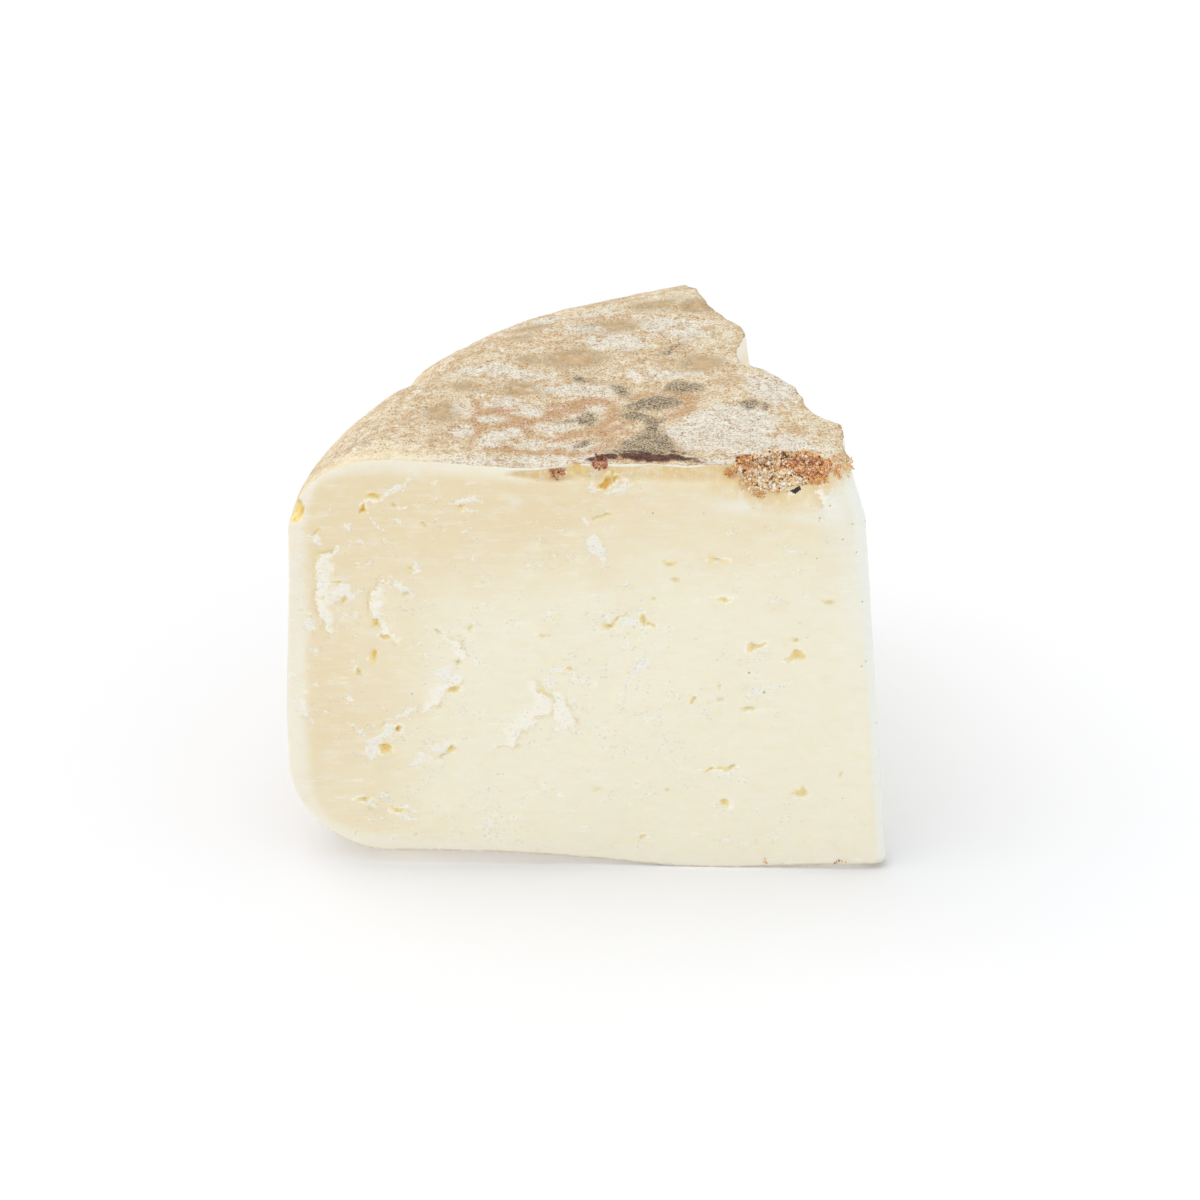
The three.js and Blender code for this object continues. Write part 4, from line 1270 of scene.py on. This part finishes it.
def makeCrumbs():
    paint = Paint("crustCrumbs")
    place = paint.place()
    fine = paint.noise(place, 3.5, 4)
    colour = crustColour(paint, paint.field("grain") + (fine - 0.5) * 0.45)
    normal = paint.bumped(fine + paint.noise(place, 9, 2) * 0.5, 0.2)
    return paint.finish({"Base Color": colour, "Roughness": 0.8, "Normal": normal})


# paste

pasteLook = tones({
    "band": (241, 235, 217),  # the pale few millimetres under the rind
    "warm": (235, 219, 182),
    "heart": (242, 236, 213),
    "strip": (238, 241, 233),  # the second cut, near the tip: partly the paste's paler colour, partly painted light, the glow and highlight of the thin tip
    "haze": (242, 239, 224),
    "gold": (242, 224, 162),
    "deepGold": (240, 206, 118),
    "amber": (226, 180, 88),
    "ember": (206, 132, 58),
    # painted shade: the black of the deep slit under the crust
    "black": (44, 32, 28),
    "torn": (254, 252, 243),
    "flake": (249, 245, 232),
    # painted shade: a tan line just outside a flake's torn edge
    "foot": (230, 209, 162),
    # painted shade: the dark of the pinholes
    "fleck": (168, 132, 88),
    "stain": (234, 208, 154),
    "hem": (208, 184, 144),
}, 1.0)


pasteGrit = {  # scales of the noise, in turns for each millimetre
    "mottle": 0.09,
    "tooth": 0.9,
    "fine": 1.8,
    "grit": 5,
    "patchy": (0.25, 0.25, 0.5),
    "streak": (0.12, 0.12, 0.9),
    "scratch": (0.3, 0.3, 3.0),
    "smear": (0.8, 0.5, 0.35),
    "slant": 4,  # degrees, of the knife's drag
}
pasteSkin = {"roughness": 0.5, "bump": 0.14, "glow": 0.3, "glowDepth": 1.1}


def makePaste():
    look, size = pasteLook, pasteGrit
    paint = Paint("cheesePaste")
    place = paint.place()
    warmth, band, hem, strip, groove = map(paint.field, ("warmth", "band", "hem", "strip", "groove"))
    torn, crack, eye, gold = map(paint.field, ("torn", "crack", "eye", "gold"))
    flake, edge, crust, openEye = map(paint.field, ("flake", "edge", "crust", "edgeEye"))
    mottle = paint.noise(place, size["mottle"], 3)
    patchy = paint.noise(paint.place(size["patchy"]), 1, 4, 0.6)
    smear = paint.noise(paint.place(size["smear"]), 1, 3)
    fine = paint.noise(place, size["fine"], 4)
    grit = paint.noise(place, size["grit"], 2)
    slanted = paint.slant(place, size["slant"])
    streak = paint.noise(paint.scaled(slanted, size["streak"]), 1, 4, 0.6)
    scratch = paint.noise(paint.scaled(slanted, size["scratch"]), 1, 3, 0.6)
    uneven = fine - 0.5
    teeth = uneven * 2 + (paint.noise(place, size["tooth"], 2) - 0.5) * 2.4  # millimetres

    nearCrust = (crust + uneven * 0.5).within(1.6, 1.05)
    pale = strip.within(0.25, 0.6)
    pin = paint.dots(place, 0.36, 0.05, 0.2, 0).most(paint.dots(place, 0.5, 0.11, 0.45, 1) * pale * 0.9)
    goldPin = paint.dots(place, 0.42, 0.15, 0.24, 1)
    curd = paint.dots(place, 1.5, 0.34, 0.45, 2) * torn.within(-2.2, -0.2).most(flake * 0.5)
    # partly the curd's own white, partly a painted highlight fading from the torn edge
    flakeMask = (flake + teeth * 0.35).within(-0.05, 0.7) * (edge + teeth * 0.8).within(-0.12, 0.06)
    # painted shade: a tan line just outside a flake's torn edge, where the raised edge shades the paste
    foot = (edge + teeth * 0.8).within(-1.2, -0.1) * flake.within(0.5, 0.95) * patchy.within(0.44, 0.56)
    tornMask = (torn + teeth * 0.4).within(-0.1, 0.2)
    crackMask = (crack + uneven * 0.8).within(-0.1, 0.25)
    eyeMask = (eye + uneven * 0.8).within(-0.14, 0.04)
    # white rims round the golden eyes: partly white curd, partly a painted highlight on the eye's edge
    rim = (eye + teeth * 0.3).within(-0.5, -0.1) * gold.within(0.5, 0.9)
    crustMask = (crust + uneven * 0.12).within(1.03, 0.97)

    tornTone = paint.mix(grit.within(0.4, 0.56), look["flake"], look["torn"])
    # the eyes' gold is partly their own colour; deeper gold toward an eye's middle, amber and ember in the
    # strongest eyes, and black in the slit are painted shade in the hole
    goldTone = paint.mix((eye + uneven).within(0.15, 0.6), look["gold"], look["deepGold"])
    goldTone = paint.coats(goldTone, look, [
        ("amber", gold.within(0.95, 1.1) * (eye + uneven * 0.8).within(0.0, 0.5)),
        ("ember", gold.within(1.1, 1.4) * (grit + eye * 0.3).within(0.5, 0.66)),
        ("black", gold.within(1.5, 1.9)),
    ])
    openTone = paint.mix(fine.within(0.45, 0.6), look["gold"], look["deepGold"])
    colour = paint.mix((warmth + (mottle - 0.5) * 0.7).within(0, 1), look["heart"], look["warm"])
    colour = paint.coats(colour, look, [
        ("band", (band + (patchy - 0.5) * 0.4).within(0, 1)),
        ("strip", strip),
        # the drag of the knife, in tone
        ("haze", streak.within(0.52, 0.68) * 0.25),
        ("haze", patchy.within(0.5, 0.66) * 0.25),
        ("warm", patchy.within(0.47, 0.33) * 0.15),
        ("torn", scratch.within(0.6, 0.68) * patchy.within(0.45, 0.58) * 0.35),
        ("hem", hem * (patchy.within(0.4, 0.55) * 0.6)),
        # golden stain in the groove under the rind, and round the crust
        ("stain", groove * (smear.within(0.3, 0.62) * 0.6 + 0.4)),
        ("band", groove * (fine.within(0.56, 0.64) * 0.6)),
        ("stain", nearCrust * smear.within(0.32, 0.54) * 0.9),
        # pinholes, painted dark as the shade in them, golden dots, and granules of curd round the torn places
        ("fleck", pin * 0.6),
        ("gold", goldPin * 0.55),
        ("torn", curd * 0.7),
        # painted shade beside each flake's torn edge
        ("foot", foot * 0.7),
        # flakes: partly the curd's own white, partly a painted highlight fading from the torn edge
        ("flake", flakeMask * 0.9),
        (tornTone, tornMask * 0.8),
        # eye rims: partly white curd, partly a painted highlight on the eye's edge
        ("torn", rim * patchy.within(0.46, 0.54) * 0.7),
        # cracks: gold, partly painted shade in the narrow groove
        ("gold", crackMask * 0.65),
        (goldTone, eyeMask * gold),
        (openTone, openEye.within(-0.02, 0.12)),
        (crustBed(paint, place, grit - 0.35), crustMask),
    ])

    height = streak * 0.4 + scratch * 0.3 + fine * 0.3 + grit * 0.12 - pin * 0.6 - goldPin * 0.8 + curd * 0.8
    rough = tornMask.most(flakeMask * 0.3)
    height = height + rough * (uneven * 1.6 + (grit - 0.5)) + crustMask * grit * 4
    roughness = pasteSkin["roughness"] + rough * 0.25 - eyeMask * 0.15 + crustMask * 0.3
    normal = paint.bumped(height, pasteSkin["bump"])
    surface = {"Base Color": colour, "Roughness": roughness, "Normal": normal}
    return paint.finish(surface | milkGlow(pasteSkin["glow"], pasteSkin["glowDepth"]))


# rind

rindLook = tones({
    "base": (220, 192, 148),
    "cream": (238, 217, 178),
    "powder": (250, 246, 234),
    "speck": (186, 138, 84),
    "dark": (122, 88, 58),
    "ochre": (206, 160, 100),
    "white": (238, 233, 218),
    "tan": (194, 163, 118),
    "yellow": (240, 226, 190),
    "vein": (196, 144, 102),
    "veinPale": (218, 178, 138),
    "mould": (94, 76, 56),
    "mouldPale": (204, 186, 154),
    "streak": (50, 34, 24),
    "rust": (134, 68, 42),
}, 0.9)


rindGrit = {"fine": 1.1, "grit": 3.0, "broad": 0.15, "middle": 0.5, "fleck": 1.8}
rindSkin = {"roughness": 0.82, "bump": 0.5, "glow": 0.12, "glowDepth": 1.0}


def makeRind():
    look, size = rindLook, rindGrit
    paint = Paint("cheeseRind")
    place = paint.place()
    fine = paint.noise(place, size["fine"], 4, 0.7)
    grit = paint.noise(place, size["grit"], 2, 0.6)
    broad = paint.noise(place, size["broad"], 3, 0.6)
    middle = paint.noise(place, size["middle"], 3, 0.6)
    fleck = paint.noise(place, size["fleck"], 3, 0.75)
    uneven = (fine - 0.5) * 2.4 + (middle - 0.5) * 2.4  # millimetres
    yellow, tan, white, vein, mould = map(paint.field, ("yellow", "tan", "white", "vein", "mould"))
    streak, rust, crust, pale, openEye = map(paint.field, ("streak", "rust", "crust", "pale", "edgeEye"))
    tanMask = (tan + uneven * 2.5).within(-0.6, 2.4)
    whiteMask = (white + uneven * 1.6).within(-0.9, 0.9)
    veinMask = (vein + uneven * 0.9).within(-1.1, 0.45) * (middle.within(0.36, 0.56) * 0.45 + 0.6)
    mouldMask = (mould + uneven * 1.3).within(-0.8, 0.6)
    paleMask = (pale + uneven * 0.3).within(0, 1)
    streakMask = (streak + uneven * 0.6).within(-0.25, 0.35)
    crustMask = (crust + (fine - 0.5) * 0.15).within(1.04, 0.98)
    calm = 1 - (tanMask * 0.85).most(paleMask * 0.75)
    speckle = fine * 0.35 + grit * 0.65
    clump = middle.within(0.42, 0.58)
    powder = speckle.within(0.5, 0.56) * (clump * 0.5 + 0.35 + whiteMask * 0.4 - veinMask * 0.5)
    specks = speckle.within(0.48, 0.41) * (0.92 - clump * 0.4)

    veinTone = paint.mix(speckle.within(0.42, 0.58), look["vein"], look["veinPale"])
    mouldTone = paint.mix((grit * 0.7 + fine * 0.3).within(0.42, 0.58), look["mould"], look["mouldPale"])
    streakTone = paint.mix(speckle.within(0.46, 0.6), look["streak"], look["rust"])
    openTone = paint.mix(fine.within(0.45, 0.6), pasteLook["gold"], pasteLook["deepGold"])
    colour = paint.mix((broad * 0.6 + middle * 0.4).within(0.42, 0.58), look["base"], look["cream"])
    colour = paint.coats(colour, look, [
        ("yellow", (yellow + uneven * 2).within(-1.2, 2.0) * 0.75),
        ("tan", tanMask * 0.9),
        ("white", whiteMask * 0.8),
        ("yellow", paleMask * 0.85),
        (veinTone, veinMask * 0.85),
        # powder and specks over the sandy ground
        ("powder", powder * calm),
        ("speck", specks * calm),
        ("speck", paint.dots(place, 1.1, 0.3, 0.4, 0) * calm * 0.65),
        ("dark", paint.dots(place, 0.8, 0.22, 0.2, 1) * calm * 0.65),
        ("dark", fleck.within(0.37, 0.32) * calm * 0.5),
        ("powder", middle.within(0.56, 0.66) * speckle.within(0.46, 0.54) * calm * 0.6),
        ("ochre", middle.within(0.4, 0.32) * fine.within(0.44, 0.56) * calm * 0.4),
        (mouldTone, mouldMask * 0.92),
        ("rust", (rust + uneven * 0.5).within(-0.3, 0.3) * 0.85),
        (streakTone, streakMask * 0.95),
        (openTone, openEye.within(-0.1, 0.05)),
        (crustBed(paint, place, grit - 0.4), crustMask),
    ])

    normal = paint.bumped((fine + grit * 0.6 + fleck * 0.5) * calm, rindSkin["bump"])
    surface = {"Base Color": colour, "Roughness": rindSkin["roughness"] - tanMask * 0.15, "Normal": normal}
    return paint.finish(surface | milkGlow(rindSkin["glow"], rindSkin["glowDepth"]))


cheeseWedge.data.materials.append(makePaste())
cheeseWedge.data.materials.append(makeRind())
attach(cheeseWedge, "root")
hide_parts("cheese_wedge")
print("paste and rind coloured")


# crumbs: in the broken corner, and a few that hang under the dark streak or cling to the cut

crumbs = {
    "seed": 19,
    "fine": {"count": 3900, "size": (0.08, 0.24)},
    "coarse": {"count": 620, "size": (0.16, 0.34)},
    "sizeBias": 1.6,  # power that makes most of them small
    "stretch": (0.65, 1.3),
    "lumps": [(0.35, 1.6), (0.25, 3.7)],  # share of a crumb's size, and how fine
    "bed": 0.97,  # they lie where the corner reached less than this share of the way to the hollow's wall
    "strewn": 0.3,  # how far from its place in the bed
    "stands": (0.3, 0.25),  # off the bed: share of its size, and at most as much again
    "creamSpot": (31.4, 78, 5.4),  # x, z and reach of the pale granules
    "creamMost": 0.9,
    "orangeEnds": (25.6, 39.6),  # left and right of these the crumbs are orange
    "orangeMost": {"rim": 0.4, "left": 0.5, "right": 0.7},
    "orangeOver": 2,
    "rim": (0.93, 1.0),
    "alike": {"share": 0.6, "strength": 0.8, "size": 1.5},  # neighbours are alike
    "darkShare": 0.06,
    "goldenShare": 0.55,  # at the ends
    "goldenIn": 2.4,  # how far past the left end
    "tones": {  # shares of the crust's colours
        "dark": (0, 0.18), "russet": (0.22, 0.68), "orange": (0.42, 0.78), "golden": (0.55, 0.9),
        "cream": (0.68, 1),
    },
    "clingsWithin": 3,  # behind the front cut
    "clusters": [  # x, z, reach, count, size, darkest and palest share of the crust's colours
        (1.7, 80.2, 1.2, 90, (0.12, 0.3), (0.02, 0.42)), (-5, 78.2, 0.7, 44, (0.1, 0.24), (0.08, 0.62)),
        (-6.2, 78, 0.6, 30, (0.1, 0.24), (0.08, 0.62)), (-5.6, 76.8, 0.4, 7, (0.08, 0.18), (0.1, 0.6)),
        (30.8, 1.7, 0.3, 5, (0.12, 0.24), (0.3, 0.6)), (43.9, 1.7, 0.3, 4, (0.1, 0.2), (0, 0.1)),
        (44.8, 1.6, 0.4, 5, (0.08, 0.18), (0.35, 0.65)),
        (23.9, 78.2, 0.8, 36, (0.12, 0.32), (0.42, 0.72)),
        (42.6, 79.9, 1.6, 130, (0.1, 0.3), (0.42, 0.86)), (28.6, 75.4, 1.3, 170, (0.08, 0.24), (0.5, 1)),
        (26.4, 76.9, 1.1, 170, (0.08, 0.26), (0.45, 0.95)), (32, 75.4, 0.8, 50, (0.08, 0.2), (0.4, 0.9)),
    ],
}


def lumpShape(finer):
    ball = bmesh.new()
    bmesh.ops.create_icosphere(ball, subdivisions=2 if finer else 1, radius=1)
    corners = np.array([vertex.co[:] for vertex in ball.verts])
    faces = np.array([[vertex.index for vertex in face.verts] for face in ball.faces])
    ball.free()
    return corners, faces


def readFloats(items, name, width):
    values = np.zeros(len(items) * width)
    items.foreach_get(name, values)
    return values.reshape(-1, width)


def crustShade(rng, x, y, z, near):
    # cream granules in the middle, orange at the ends and along the rim, russet and pink between
    spotX, spotZ, reach = crumbs["creamSpot"]
    leftEnd, rightEnd = crumbs["orangeEnds"]
    most, over, kinds = crumbs["orangeMost"], crumbs["orangeOver"], crumbs["tones"]
    cream = crumbs["creamMost"] * bump(math.hypot(x - spotX, z - spotZ), reach)
    left, right = smooth(0, -over, x - leftEnd), smooth(0, over, x - rightEnd)
    rim = smooth(*crumbs["rim"], near)
    orange = max(most["rim"] * rim, most["left"] * left, most["right"] * right)
    alike = crumbs["alike"]
    shared = 0.5 + alike["strength"] * noise(*(value / alike["size"] for value in (x, y, z)))
    draw = lerp(rng.random(), shared, alike["share"])
    if rng.random() < crumbs["darkShare"]:
        return rng.uniform(*kinds["dark"])
    if draw < cream:
        return rng.uniform(*kinds["cream"])
    if max(x - rightEnd, leftEnd + crumbs["goldenIn"] - x) > 0 and rng.random() < crumbs["goldenShare"]:
        return rng.uniform(*kinds["golden"])
    return rng.uniform(*kinds["orange" if draw < cream + orange else "russet"])


def buildCrumbs():
    rng = np.random.default_rng(crumbs["seed"])
    ground = cheeseWedge.data
    places = readFloats(ground.vertices, "co", 3) / mm
    normals = readFloats(ground.vertices, "normal", 3)
    nearness = readFloats(ground.attributes["crust"].data, "value", 1)[:, 0]
    lumps = {name: lumpShape(name == "coarse") for name in ("fine", "coarse")}
    allCorners, allFaces, crumbShades = [], [], []

    def addCrumb(kind, index, size, shade):
        lump, faces = lumps[kind]
        stretch = rng.uniform(*crumbs["stretch"], 3)
        turn, offset = rng.uniform(0, 2 * math.pi), rng.uniform(0, 30, 3)
        rough = 1 + sum(share * noise(*(lump * finer + offset).T) for share, finer in crumbs["lumps"])
        shape = lump * rough[:, None] * stretch * size
        spun = shape.copy()
        spun[:, 0] = shape[:, 0] * math.cos(turn) - shape[:, 2] * math.sin(turn)
        spun[:, 2] = shape[:, 0] * math.sin(turn) + shape[:, 2] * math.cos(turn)
        place = places[index] + rng.uniform(-crumbs["strewn"], crumbs["strewn"], 3)
        ofSize, most = crumbs["stands"]
        allFaces.append(faces + len(crumbShades))
        allCorners.append(place + normals[index] * (size * ofSize + most * rng.random() ** 2) + spun)
        crumbShades.extend([shade] * len(lump))

    bed = np.flatnonzero(nearness < crumbs["bed"])
    for kind in ("coarse", "fine"):
        low, high = crumbs[kind]["size"]
        for index in rng.choice(bed, crumbs[kind]["count"]):
            shade = crustShade(rng, *places[index], nearness[index])
            addCrumb(kind, index, low + (high - low) * rng.random() ** crumbs["sizeBias"], shade)
    for x, z, reach, number, size, shade in crumbs["clusters"]:
        distance = np.hypot(places[:, 0] - x, places[:, 2] - z)
        distance[places[:, 1] > frontY + crumbs["clingsWithin"]] = np.inf
        near = np.flatnonzero(distance < distance.min() + reach)
        for index in rng.choice(near, number):
            addCrumb("fine", index, rng.uniform(*size), rng.uniform(*shade))

    corners = np.clip(np.concatenate(allCorners), *(np.array(corner) / mm for corner in cadBox))
    mesh = bpy.data.meshes.new("crustCrumbs")
    mesh.from_pydata(corners * mm, [], [face for faces in allFaces for face in faces.tolist()])
    addLayer(mesh, "grain", np.array(crumbShades))
    return addObject("crustCrumbs", mesh)


crustCrumbs = buildCrumbs()
crustCrumbs.data.materials.append(makeCrumbs())
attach(crustCrumbs, "root")
print("crumbs laid,", len(crustCrumbs.data.polygons), "triangles")


# floor, light and camera

studio = {
    "floorSize": 6.0,  # metres
    "floorColour": (0.765, 0.77, 0.785, 1),
    "floorGlow": (0.09, 0.09, 0.09, 1),
    "gapGlow": (0.33, 0.33, 0.33, 1),  # under the front edge, keeps the contact shadow pale
    "skyStrength": 0.92,
    "gap": {"left": (-50, -32), "right": (52, 46), "front": (-46, -42), "back": (-20, -34)},  # none to full
    "lampFrom": (-0.5, 0.03, 1.0),  # metres
    "lampStrength": 1.0,
    "lampSpread": math.radians(50),
}


def buildStudio():
    half = studio["floorSize"] / 2
    corners = [(-half, -half, 0), (half, -half, 0), (half, half, 0), (-half, half, 0)]
    mesh = bpy.data.meshes.new("floor")
    mesh.from_pydata(corners, [], [(0, 1, 2, 3)])
    paint = Paint("floor")
    place = paint.place()
    x, y = paint.split(place, 0), paint.split(place, 1)
    # painted light: the floor glows more under the wedge's lifted front edge, so the contact shadow there
    # stays pale
    gap = studio["gap"]
    across = x.within(*gap["left"]) * x.within(*gap["right"])
    under = across * y.within(*gap["front"]) * y.within(*gap["back"])
    mesh.materials.append(paint.finish({
        "Base Color": studio["floorColour"],
        "Roughness": 0.9,
        "Emission Color": paint.mix(under, studio["floorGlow"], studio["gapGlow"]),
        "Emission Strength": 1.0,
    }))
    addObject("floor", mesh)

    world = bpy.data.worlds.new("studio")
    world.use_nodes = True
    background = world.node_tree.nodes["Background"]
    background.inputs["Color"].default_value = (1, 1, 1, 1)
    background.inputs["Strength"].default_value = studio["skyStrength"]
    bpy.context.scene.world = world

    # one broad lamp far off, so that the floor is evenly lit
    lamp = bpy.data.lights.new("overhead", "SUN")
    lamp.energy, lamp.angle = studio["lampStrength"], studio["lampSpread"]
    light = addObject("overhead", lamp)
    light.location = studio["lampFrom"]
    light.rotation_euler = Vector(studio["lampFrom"]).to_track_quat("Z", "Y").to_euler()


view = {
    "target": (1.83, -48.6, 56.26),
    "distance": 760,
    "azimuth": 1.49,
    "elevation": 29,
    "lens": 133.55,
    "sensor": 36,
}


def buildCamera():
    azimuth, elevation = math.radians(view["azimuth"]), math.radians(view["elevation"])
    away = Vector((
        math.sin(azimuth) * math.cos(elevation),
        -math.cos(azimuth) * math.cos(elevation),
        math.sin(elevation),
    ))
    camera = addObject("camera", bpy.data.cameras.new("camera"))
    camera.data.lens = view["lens"]
    camera.data.sensor_width = view["sensor"]
    camera.location = (Vector(view["target"]) + away * view["distance"]) * mm
    camera.rotation_euler = away.to_track_quat("Z", "Y").to_euler()
    bpy.context.scene.camera = camera


buildStudio()
buildCamera()
bpy.context.scene.view_settings.view_transform = "Standard"
print("studio set")
